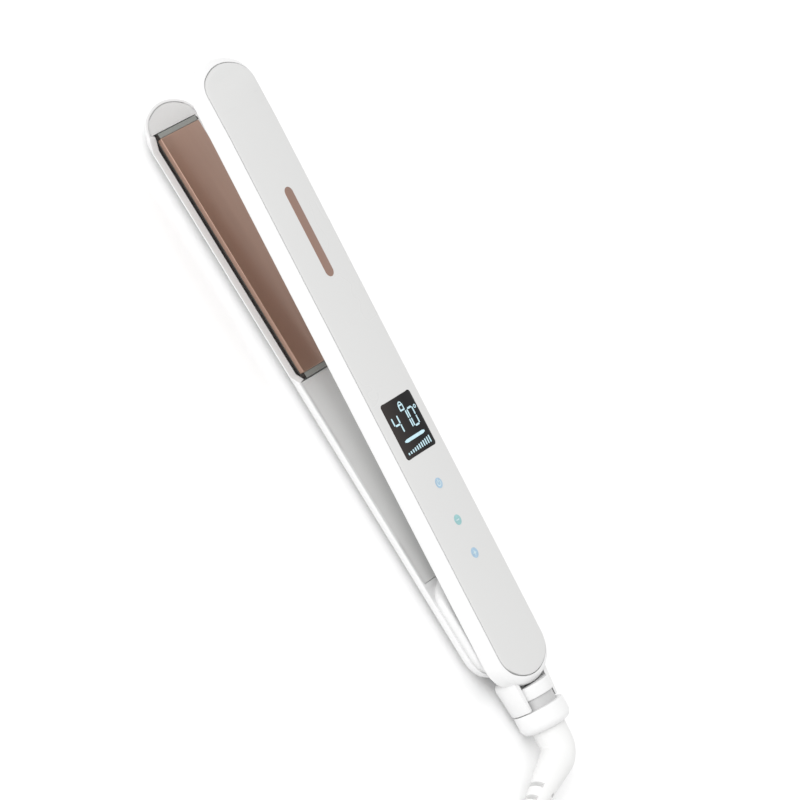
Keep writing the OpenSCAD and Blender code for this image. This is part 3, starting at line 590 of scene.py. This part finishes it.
mark = {"lift": 0.085, "depth": 0.04, "bluntEnd": 0.22}


def flatMark(outline, lift=mark["lift"], depth=mark["depth"]):
    # a small raised mark: outline is (x, y) on the top, anticlockwise
    return addRings("mark", [[onPanel(x, y, z) for x, y in outline] for z in (lift - depth, lift)])


def barOutline(x, y, alongX, alongY, corner=0.25):
    spots = []
    for sx, sy, start in ((1, 1, 0), (-1, 1, 90), (-1, -1, 180), (1, -1, 270)):
        for i in range(4):
            a = radians(start + 30 * i)
            spots.append((x + sx * (alongX / 2 - corner) + corner * cos(a),
                          y + sy * (alongY / 2 - corner) + corner * sin(a)))
    return spots


def crossBar(x, y0, y1, width, steps=10):
    # long bar across the crown, with rounded ends
    lift, depth, r = mark["lift"], mark["depth"], width / 2
    sections = []
    for i in range(steps + 1):
        y = y0 + (y1 - y0) * i / steps
        fromEnd = min(y - y0, y1 - y, r)
        half = max(sqrt(max(r ** 2 - (r - fromEnd) ** 2, 0)), width * mark["bluntEnd"])
        sections.append([onPanel(x + side * half, y, lift - down)
                         for side, down in ((-1, depth), (1, depth), (1, 0), (-1, 0))])
    return addRings("mark", sections)


def ringMark(x, y, rOut, rIn, fromAngle=0, toAngle=360, lift=mark["lift"], steps=28):
    # open or closed ring, built from a strip of quads
    closed = toAngle - fromAngle >= 360
    stops = steps if closed else steps + 1
    turns = [radians(fromAngle + (toAngle - fromAngle) * i / steps) for i in range(stops)]
    corners = ((rIn, mark["depth"]), (rIn, 0), (rOut, 0), (rOut, mark["depth"]))
    sections = [[onPanel(x + r * cos(a), y + r * sin(a), lift - down) for r, down in corners]
                for a in turns]
    if closed:
        sections.append(sections[0])
    return addRings("mark", sections, capFirst=not closed, capLast=not closed)


# what the display shows, from the digits back to the level row; x runs along the arm
display = {
    "digits": "410", "digitX": 151.6, "digitY": (-5.9, 0.2, 4.9), "digitHeight": 7.0, "digitWidth": 3.5,
    "stroke": 0.72, "strokeCorner": 0.3,
    "degreeX": 148.7, "degreeY": 8.4, "degreeOut": 0.8, "degreeIn": 0.4,
    # the padlock's four bars as (x, y, along x, along y), then its bow
    "lockX": 144.6, "lockY": 0.6, "lockBow": 0.8, "bowOut": 1.25, "bowIn": 0.75,
    "lockBars": ((1.0, 0, 0.6, 3.0), (3.0, 0, 0.6, 3.0), (2.0, -1.2, 2.2, 0.6), (2.0, 1.2, 2.2, 0.6)),
    "barX": 158.4, "barStart": -6.6, "barEnd": 7.0, "barWidth": 1.3,
    "levelX": 163.4, "levels": 11, "levelStart": -7.6, "levelSpan": 15.2, "levelLow": 0.9,
    "levelRise": 1.9, "levelWidth": 0.75, "levelCorner": 0.2,
}
# which segments are lit: top, upper left, upper right, middle, lower left, lower right, bottom
litDigits = {"4": (0, 1, 1, 1, 0, 1, 0), "1": (0, 0, 1, 0, 0, 1, 0), "0": (1, 1, 1, 0, 1, 1, 1)}


def digitMarks(digit, y):
    # the digits read with their tops towards the tip, so left is towards -y
    d, marks = display, []
    x, h, w, s = d["digitX"], d["digitHeight"], d["digitWidth"], d["stroke"]
    spots = ((-h / 2, 0, True), (-h / 4, -w / 2, False), (-h / 4, w / 2, False), (0, 0, True),
             (h / 4, -w / 2, False), (h / 4, w / 2, False), (h / 2, 0, True))
    for lit, (dx, dy, level) in zip(litDigits[digit], spots):
        if lit:
            size = (s, w - s * 1.15) if level else (h / 2 - s * 0.5, s)
            marks.append(flatMark(barOutline(x + dx, y + dy, *size, d["strokeCorner"])))
    return marks


def makeDisplayMarks():
    d = display
    marks = []
    for digit, y in zip(d["digits"], d["digitY"]):
        marks += digitMarks(digit, y)
    marks.append(ringMark(d["degreeX"], d["degreeY"], d["degreeOut"], d["degreeIn"]))
    for dx, dy, alongX, alongY in d["lockBars"]:
        marks.append(flatMark(barOutline(d["lockX"] + dx, d["lockY"] + dy, alongX, alongY)))
    marks.append(ringMark(d["lockX"] + d["lockBow"], d["lockY"], d["bowOut"], d["bowIn"], 90, 270))
    marks.append(crossBar(d["barX"], d["barStart"], d["barEnd"], d["barWidth"]))
    for i in range(d["levels"]):
        along = i / (d["levels"] - 1)
        height = d["levelLow"] + d["levelRise"] * along
        y = d["levelStart"] + d["levelSpan"] * along
        marks.append(flatMark(barOutline(d["levelX"] - height / 2, y, height, d["levelWidth"],
                                         d["levelCorner"])))
    marks = joinPieces("displayMarks", marks)
    return finishPiece(marks, upperLayout, "upper_arm", paleCyan)


keys = {
    "power_key": {"node": "power_button", "x": 177.9, "disc": iconBlue},
    "minus_key": {"node": "minus_button", "x": 193.3, "disc": iconTeal},
    "plus_key": {"node": "plus_button", "x": 207.1, "disc": iconBlue},
}
# the cap's rings are (inset, lift); the printed disc and icon lie on it
keyCap = {
    "radius": 2.7, "rings": ((0, -1.5), (0, -0.05), (0.05, 0.0), (0.14, 0.02)), "steps": 40,
    "discRadius": 2.05, "discLift": 0.07, "discDepth": 0.03, "discSteps": 32, "iconLift": 0.1,
    "ringOut": 1.25, "ringIn": 0.9, "ringTurn": (215, 505), "stem": (0.9, 1.3, 0.34),
    "barLength": 1.9, "barWidth": 0.4, "crossLift": 0.01, "corner": 0.15,
}


def roundOutline(x, radius, steps):
    turns = [2 * pi * i / steps for i in range(steps)]
    return [(x + radius * cos(a), radius * sin(a)) for a in turns]


def iconParts(body, x):
    k = keyCap
    lift, long, thin = k["iconLift"], k["barLength"], k["barWidth"]
    if body == "power_key":
        back, stemLength, stemWidth = k["stem"]
        return [ringMark(x, 0, k["ringOut"], k["ringIn"], *k["ringTurn"], lift),
                flatMark(barOutline(x - back, 0, stemLength, stemWidth, k["corner"]), lift)]
    parts = [flatMark(barOutline(x, 0, thin, long, k["corner"]), lift)]
    if body == "plus_key":
        parts.append(flatMark(barOutline(x, 0, long, thin, k["corner"]), lift + k["crossLift"]))
    return parts


def makeKeys():
    k = keyCap
    for body, key in keys.items():
        x = key["x"]
        rings = [[onPanel(px, py, lift) for px, py in roundOutline(x, k["radius"] - inset, k["steps"])]
                 for inset, lift in k["rings"]]
        cap = addRings(body + "Cap", rings)
        finishPiece(cap, upperLayout, body, panelPearl, [key["node"]])
        disc = flatMark(roundOutline(x, k["discRadius"], k["discSteps"]), k["discLift"], k["discDepth"])
        disc.name = body + "Disc"
        finishPiece(disc, upperLayout, body, key["disc"])
        icon = joinPieces(body + "Icon", iconParts(body, x))
        finishPiece(icon, upperLayout, body, iconPale)


# lower casing; heights are negative, below the plane where the plates meet
lower = {
    "tip": 3.8, "tipCurve": 0.03, "end": 253.5, "endCurve": 8, "endDepth": 8.4, "innerFace": -1.2,
    "sideRound": 5.2, "sideCentre": (11.95, -1.3),
    "bellyRound": 25.2, "bellyCentre": 14.9, "bellyJoin": -5.2,
    "drop": 2.1, "dropFront": (14.4, 19.9), "dropRear": (117.2, 120.4), "dropHalf": 12, "ledge": 13.3,
    "stopStep": 0.15, "plateStops": (40, 70, 98), "rearStops": (150, 190, 225),
    # up the outside: (height, inset)
    "outside": ((-9.6, 0.5), (-9.55, 0.12), (-9.4, 0), (-9.0, 0), (-8.4, 0), (-7.6, 0), (-6.7, 0),
                (-5.9, 0), (-5.2, 0), (-4.6, 0), (-4.0, 0), (-3.6, 0)),
    # over the rim and down inside: (height, inset, depth below the rim, on the ledge)
    "rim": ((-1.5, 0, 0.3, False), (-1.28, 0.1, 0.08, False), (-1.2, 0.35, 0, False),
            (-1.2, 1.5, 0, True), (-1.26, 1.7, 0.06, True), (-1.5, 1.75, 0.3, True),
            (-5.95, 1.75, 0, True)),
    "inside": ((-6.8, 0.5), (-8.0, 7.75)),
}


def lowerHalf(z):
    # half width of the lower casing at a height
    cy, cz = lower["sideCentre"]
    r = lower["sideRound"]
    if z >= cz:
        return arm["half"]
    if z <= lower["bellyJoin"]:
        return sqrt(max(lower["bellyRound"] ** 2 - (z - lower["bellyCentre"]) ** 2, 0))
    return min(cy + sqrt(max(r * r - (z - cz) ** 2, 0)), arm["half"])


def lowerRing(z, inset=0.0):
    d = lower["innerFace"] - z
    x0 = lower["tip"] + d + lower["tipCurve"] * d * d + inset
    shrink = 1 - cos(asin(min(max(d, 0) / lower["endDepth"], 1)))
    x1 = lower["end"] - lower["endCurve"] * shrink - inset
    (a, b), (c, e) = lower["dropFront"], lower["dropRear"]
    step = lower["stopStep"]
    stops = [a - step, a + step, (a + b) / 2, b, *lower["plateStops"],
             c, (c + e) / 2, e - step, e + step, *lower["rearStops"]]
    return [Vector((x, y, z)) for x, y in armOutline(x0, x1, lowerHalf(z) - inset, stops)]


def dropAt(x):
    # how far the rim is lowered beside the plate
    (a, b), (c, e) = lower["dropFront"], lower["dropRear"]
    if x <= a or x >= e:
        return 0.0
    if x < b:
        return lower["drop"] * (x - a) / (b - a)
    if x > c:
        return lower["drop"] * (e - x) / (e - c)
    return lower["drop"]


def lowered(ring, inset=0.0, onLedge=False):
    # the rim's rings follow the lowered part of the rim, and the inner ones its ledge beside the plate
    for spot in ring:
        if abs(spot.y) > lower["dropHalf"]:
            spot.z = min(spot.z, lower["innerFace"] - dropAt(spot.x) - inset)
            if onLedge and lower["dropFront"][0] < spot.x < lower["dropRear"][1]:
                spot.y = lower["ledge"] * (1 if spot.y > 0 else -1)
    return ring


def makeLowerShell():
    rings = [lowerRing(z, inset) for z, inset in lower["outside"]]
    rings += [lowered(lowerRing(z, inset), below, onLedge) for z, inset, below, onLedge in lower["rim"]]
    rings += [lowerRing(z, inset) for z, inset in lower["inside"]]
    shell = addRings("lowerShell", rings)
    return finishPiece(shell, lowerLayout, "lower_arm", whiteShell, ["lower_housing"],
                       angle=40)


# low block over the hinge, its front ramped and its edges softened
hingeCap = {
    "start": 208.5, "end": 253.3, "half": 15.75, "sideStops": (229, 236),
    # (height, inset, how far the front and the back draw in)
    "levels": ((-2.4, 0, 0, 0), (-1.2, 0, 0, 0), (-0.4, 0.05, 0.5, 0.1), (0.6, 0.15, 1.7, 0.5),
               (1.3, 0.35, 3.3, 1.1), (1.7, 0.75, 4.9, 1.9), (1.9, 1.35, 6.6, 2.9)),
    # a thin base fills the front corners up to the inner cover
    "baseEnd": 238, "baseHalf": 15.7, "baseHeights": (-2.3, -1.22),
}


def makeHingeCover():
    h = hingeCap
    rings = []
    for z, inset, front, back in h["levels"]:
        outline = armOutline(h["start"] + front, h["end"] - back, h["half"] - inset, h["sideStops"])
        rings.append([Vector((x, y, z)) for x, y in outline])
    cover = addRings("hingeCover", rings)
    half = h["baseHalf"]
    corners = [(h["start"], -half), (h["baseEnd"], -half), (h["baseEnd"], half), (h["start"], half)]
    base = addRings("coverBase", [[Vector((x, y, z)) for x, y in corners] for z in h["baseHeights"]])
    cover = joinPieces("hingeCover", [cover, base])
    return finishPiece(cover, lowerLayout, "lower_arm", whiteShell, ["hinge_cover"],
                       angle=50)


plate = {"start": 16.4, "length": 101.8, "width": 25.4, "flange": 2.2, "edge": 0.45, "edgeSteps": 4}


def makePlate(name, layout, body, node, side):
    # side is 1 for the upper plate, whose face looks down, and -1 for the lower one
    p = plate
    middle = (p["start"] + p["length"] / 2, 0, side * p["flange"] / 2)
    bpy.ops.object.select_all(action="DESELECT")
    bpy.ops.mesh.primitive_cube_add(size=1, location=middle)
    slab = bpy.context.object
    slab.name = name
    slab.scale = (p["length"], p["width"], p["flange"])
    bpy.ops.object.transform_apply(location=True, rotation=False, scale=True)
    addBevel(slab, p["edge"], p["edgeSteps"])
    return finishPiece(slab, layout, body, roseCeramic, [node])


# half round cup behind the upper arm; z is the height of the swivel's middle line
tail = {
    "z": 4.2, "start": 255.2, "length": 14, "startRadius": 11.8, "endRadius": 10.4, "trough": 9.35,
    "top": 7.7, "softest": 0.6, "outerSteps": 40, "innerSteps": 34,
    # (distance from the start, how far the outside draws in)
    "sections": ((0, 1.9), (0.5, 0.9), (1.5, 0.2), (2.6, 0), (13.4, 0), (13.85, 0.2), (14, 0.55)),
}


def turnedPiece(name, profile, steps=64):
    # spins a profile of (x, radius) round the swivel's axis
    turns = [2 * pi * i / steps for i in range(steps)]
    return addRings(name, [[Vector((x, r * cos(a), tail["z"] + r * sin(a))) for a in turns]
                           for x, r in profile])


def makeTailEars():
    # cut level at the top and hollow for the swivel
    t = tail
    rings = []
    for along, edge in t["sections"]:
        soft = min(edge, t["softest"])
        outer = t["startRadius"] + (t["endRadius"] - t["startRadius"]) * along / t["length"] - edge
        inner = t["trough"] + soft * t["softest"]
        lip = t["top"] - t["z"] - soft
        a, b = asin(lip / outer), asin(lip / inner)
        outside = [a - (pi + 2 * a) * i / t["outerSteps"] for i in range(t["outerSteps"] + 1)]
        inside = [pi - b + (pi + 2 * b) * i / t["innerSteps"] for i in range(t["innerSteps"] + 1)]
        section = [(outer * cos(s), outer * sin(s)) for s in outside]
        section += [(inner * cos(s), inner * sin(s)) for s in inside]
        rings.append([Vector((t["start"] + along, y, t["z"] + z)) for y, z in section])
    ears = addRings("tailEars", rings)
    return finishPiece(ears, upperLayout, "upper_arm", whiteShell)


# profiles of the turned pieces as (x, radius)
swivel = {
    "hub": ((260.3, 7.9), (260.3, 8.3), (260.6, 8.6), (264.9, 8.6), (265.2, 8.45), (265.4, 8.1),
            (265.4, 7.2)),
    "core": ((265.2, 6.8), (265.3, 7.5), (265.5, 7.6), (276, 7.6), (276, 4)),
    "collarStart": 269.45, "collarEnd": 277.85, "collarRadius": 10.2, "collarRound": 3,
    # up to its round edge from the collar's start, and after it back from its end
    "collarFront": ((0, 7.7), (0, 9.7), (0.15, 10.05), (0.5, 10.2)),
    "collarBack": ((0.3, 6.75), (2, 6.7)),
}


def makeSwivel():
    s = swivel
    hub = turnedPiece("swivelHub", s["hub"])
    finishPiece(hub, upperLayout, "swivel", whiteShell, ["swivel_hub"])
    core = turnedPiece("swivelCore", s["core"])
    finishPiece(core, upperLayout, "swivel", coreGrey)
    r, end = s["collarRound"], s["collarEnd"]
    profile = [(s["collarStart"] + x, radius) for x, radius in s["collarFront"]]
    profile += [(end - r + r * sin(radians(a)), s["collarRadius"] - r + r * cos(radians(a)))
                for a in range(0, 91, 10)]
    profile += [(end - x, radius) for x, radius in s["collarBack"]]
    collar = turnedPiece("swivelCollar", profile)
    finishPiece(collar, upperLayout, "swivel", whiteShell, ["swivel_collar"])


# ribbed sleeve that bends down behind the swivel; lengths run along its middle line
relief = {
    "start": 276.65, "root": 6.9, "bend": 66, "bendRadius": 7.5, "bendSteps": 10, "droop": 8,
    "radius": 6.6, "tip": 3.9, "taper": 24, "around": 48,
    "slots": (12.9, 15.8, 18.8, 21.7), "slotWidth": 2.0, "slotDepth": 2.4, "slotWall": 0.18,
    "slotFrom": 0.55, "slotFade": 0.12, "slotGap": 0.1,
    # how the sleeve rounds off at its mouth
    "mouthStops": (0.7, 0.2, 0), "mouthFrom": 0.5, "mouthLip": 0.1, "mouthSoft": 0.25, "mouthEdge": 0.7,
}


def reliefLine(s):
    # point and heading on the relief's middle line
    turn = relief["bendRadius"] * radians(relief["bend"])
    a = radians(relief["bend"]) * min(max((s - relief["root"]) / turn, 0), 1)
    past = max(s - relief["root"] - turn, 0)
    r = relief["bendRadius"]
    spot = Vector((min(s, relief["root"]) + r * sin(a), r * (cos(a) - 1), 0))
    heading = Vector((cos(a), -sin(a), 0))
    return spot + past * heading, heading


def sleeveRadius(t):
    # t is the distance past the bend
    r = relief["radius"]
    if t > 0:
        r += (relief["tip"] - r) * t / relief["taper"]
    toMouth = relief["taper"] - t
    if toMouth < relief["mouthFrom"]:
        r -= relief["mouthSoft"] if toMouth > relief["mouthLip"] else relief["mouthEdge"]
    return r


def slotAt(t):
    # which slot cuts the sleeve here, if any
    for i, place in enumerate(relief["slots"]):
        if abs(t - place) < relief["slotWidth"] / 2 - relief["slotGap"]:
            return i
    return None


def slotCut(slot, a):
    # even slots are underneath, odd ones on both sides
    reach = -cos(a) if slot % 2 == 0 else abs(sin(a))
    return relief["slotDepth"] * min(max((reach - relief["slotFrom"]) / relief["slotFade"], 0), 1)


def makeStrainRelief():
    place = (Matrix.Translation((relief["start"], 0, tail["z"]))
             @ Matrix.Rotation(radians(relief["droop"]), 4, "X"))
    turn = relief["bendRadius"] * radians(relief["bend"])
    base = relief["root"] + turn
    half, wall = relief["slotWidth"] / 2, relief["slotWall"]
    stops = [0, relief["root"]]
    stops += [relief["root"] + turn * i / relief["bendSteps"] for i in range(1, relief["bendSteps"] + 1)]
    for s in relief["slots"]:
        stops += [base + s + past for past in (-half, wall - half, 0, half - wall, half)]
    stops += [base + relief["taper"] - back for back in relief["mouthStops"]]
    up = Vector((0, 0, 1))
    rings = []
    for s in stops:
        spot, heading = reliefLine(s)
        side = heading.cross(up)
        r, slot = sleeveRadius(s - base), slotAt(s - base)
        ring = []
        for i in range(relief["around"]):
            a = 2 * pi * i / relief["around"]
            cut = 0 if slot is None else slotCut(slot, a)
            ring.append(place @ (spot + (r - cut) * (cos(a) * up + sin(a) * side)))
        rings.append(ring)
    piece = addRings("strainRelief", rings)
    return finishPiece(piece, upperLayout, "swivel", cordWhite, ["strain_relief"], angle=28)


# the cord's way out of the sleeve to the hank, and out of the hank into the plug
leadRoute = ((159.8, -26.1, 4.7), (162.6, -30.6, 4), (167.2, -35.3, 3.4), (173.2, -38.6, 3.1),
             (180.5, -40, 3), (190, -40, 3), (199, -40, 3))
endRoute = ((247, -16.2, 7.3), (256, -16, 7))
hank = {
    "x": 205, "y": -16, "run": 100, "meanRadius": 21, "pointGap": 12, "diameter": 6,
    "woundFrom": 4, "wound": 1700, "startRadius": 24, "startHeight": 3,
    # where the strand steps in, out and up: (distance wound, length of the step, rise)
    "radiusSteps": ((200, 50, -6), (689, 50, 6), (1196, 50, -6), (1653, 62, -17.8)),
    "heightSteps": ((440, 50, 6), (938, 50, 6), (1436, 50, 6), (1655, 58, -13.7)),
    "curveSteps": 5, "roundSteps": 5, "measureSteps": 9,
}


def stepped(start, steps, s):
    value = start
    for place, length, rise in steps:
        t = min(max((s - place) / length, 0), 1)
        value += rise * t * t * (3 - 2 * t)
    return value


def hankSpot(s):
    # a point on the hank, s millimetres along its mean loop
    run, mean = hank["run"], hank["meanRadius"]
    loop = 2 * run + 2 * pi * mean
    r = stepped(hank["startRadius"], hank["radiusSteps"], s)
    z = stepped(hank["startHeight"], hank["heightSteps"], s)
    at = s % loop
    if at < run:
        x, y = at, -r
    elif at < run + pi * mean:
        a = -pi / 2 + (at - run) / mean
        x, y = run + r * cos(a), r * sin(a)
    elif at < 2 * run + pi * mean:
        x, y = run - (at - run - pi * mean), r
    else:
        a = pi / 2 + (at - 2 * run - pi * mean) / mean
        x, y = r * cos(a), r * sin(a)
    return (hank["x"] + x, hank["y"] + y, z)


def makeCord():
    count = round(hank["wound"] / hank["pointGap"])
    start, end = hank["woundFrom"], hank["wound"]
    wound = [hankSpot(start + (end - start) * i / count) for i in range(count + 1)]
    spots = [*leadRoute, *wound, *endRoute]
    line = bpy.data.curves.new("mainsCord", "CURVE")
    line.dimensions = "3D"
    line.resolution_u = hank["curveSteps"]
    line.bevel_depth = hank["diameter"] / 2 * mm
    line.bevel_resolution = hank["roundSteps"]
    line.use_fill_caps = True
    spline = line.splines.new("BEZIER")
    spline.bezier_points.add(len(spots) - 1)
    for knot, spot in zip(spline.bezier_points, spots):
        knot.co = Vector(spot) * mm
        knot.handle_left_type = knot.handle_right_type = "AUTO"
    piece = bpy.data.objects.new("mainsCord", line)
    bpy.context.scene.collection.objects.link(piece)
    line.materials.append(cordWhite)
    bpy.context.view_layer.update()
    length = 0
    knots = spline.bezier_points
    for a, b in zip(knots, knots[1:]):
        fine = interpolate_bezier(a.co, a.handle_right, b.handle_left, b.co, hank["measureSteps"])
        length += sum((q - p).length for p, q in zip(fine, fine[1:]))
    print("cord length", round(length, 4), "points", len(spots))
    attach(piece, "swivel")
    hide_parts("cord_lead", "cord_hank", "cord_end")
    return piece, length, spots[0]


# flat strap round one run of the hank
strap = {
    "start": 250, "end": 260, "near": -1.2, "far": 11.2, "bottom": 0.0, "top": 24.2,
    "corner": 2.8, "cornerSteps": 6, "thickness": 1.1, "soft": 0.3, "lowest": 0.02,
}


def strapRing(x, grow):
    t = strap
    r, steps = t["corner"], t["cornerSteps"]
    y0, y1, z0, z1 = t["near"] + r, t["far"] - r, t["bottom"] + r, t["top"] - r
    spots = []
    for quarter, (cy, cz) in enumerate(((y1, z1), (y0, z1), (y0, z0), (y1, z0))):
        for i in range(steps + 1):
            a = radians(90 * quarter + 90 * i / steps)
            spots.append(Vector((x, cy + (r + grow) * cos(a), max(cz + (r + grow) * sin(a), t["lowest"]))))
    return spots


def makeTie():
    x0, x1, thick, soft = strap["start"], strap["end"], strap["thickness"], strap["soft"]
    section = ((x0 + soft, thick), (x1 - soft, thick), (x1, thick - soft), (x1, 0),
               (x0, 0), (x0, thick - soft), (x0 + soft, thick))
    piece = addRings("cordTie", [strapRing(x, grow) for x, grow in section], capFirst=False, capLast=False)
    return finishPiece(piece, tableLayout, "swivel", cordWhite, ["cord_tie"])


# moulded plug: a neck with shallow rings, then a grip that flares to the blade face
plugShape = {
    "place": (253, -16, 7), "around": 48, "neck": ((0, 3.6), (0.8, 4.0)),
    "rings": 5, "ringStart": 2.2, "ringGap": 2.6, "ringRadius": 3.7, "ringTaper": 0.12,
    "ringProfile": ((0, 0), (0.3, -0.5), (0.9, -0.5), (1.2, 0.1)),
    # (distance, half width, half height, squareness); 2 is round
    "grip": ((15.6, 5.6, 5.5, 2), (17.2, 8.4, 6.1, 3), (19.4, 10.3, 6.5, 4), (22, 10.8, 6.6, 5),
             (27, 10.2, 6.3, 5), (31.5, 10.9, 6.6, 5), (33.4, 10.9, 6.6, 5), (33.9, 10.5, 6.3, 5),
             (34, 10.0, 5.8, 5)),
}


def squaredCircle(turn, power):
    value = abs(turn) ** (2 / power)
    return value if turn > 0 else -value


def makePlug():
    p = plugShape
    x0, y0, z0 = p["place"]
    neck = list(p["neck"])
    for i in range(p["rings"]):
        at = p["ringStart"] + p["ringGap"] * i
        radius = p["ringRadius"] + p["ringTaper"] * at
        neck += [(at + along, radius + out) for along, out in p["ringProfile"]]
    profile = [(s, r, r, 2) for s, r in neck] + list(p["grip"])
    turns = [2 * pi * i / p["around"] for i in range(p["around"])]
    rings = []
    for s, halfY, halfZ, power in profile:
        rings.append([Vector((x0 + s, y0 + halfY * squaredCircle(cos(a), power),
                              z0 + halfZ * squaredCircle(sin(a), power))) for a in turns])
    piece = addRings("plugBody", rings)
    return finishPiece(piece, tableLayout, "swivel", cordWhite, ["plug_body"], angle=40)


setUpCamera()
cord, cordLength, cordStart = makeCord()
sleeve = makeStrainRelief()
tie = makeTie()
plug = makePlug()
print("stage: cord laid")
setUpStudio()
finishCadNodes()
makeUpperShell()
makeTopPanel()
makeDisplay()
makeDisplayMarks()
makeKeys()
makeRoseInlay()
print("stage: upper arm made")
makeLowerShell()
makeHingeCover()
makePlate("upperPlate", upperLayout, "upper_plate_group", "upper_plate", 1)
makePlate("lowerPlate", lowerLayout, "lower_plate_group", "lower_plate", -1)
print("stage: lower arm and plates made")
makeTailEars()
makeSwivel()
print("stage: swivel made")

bpy.context.view_layer.update()
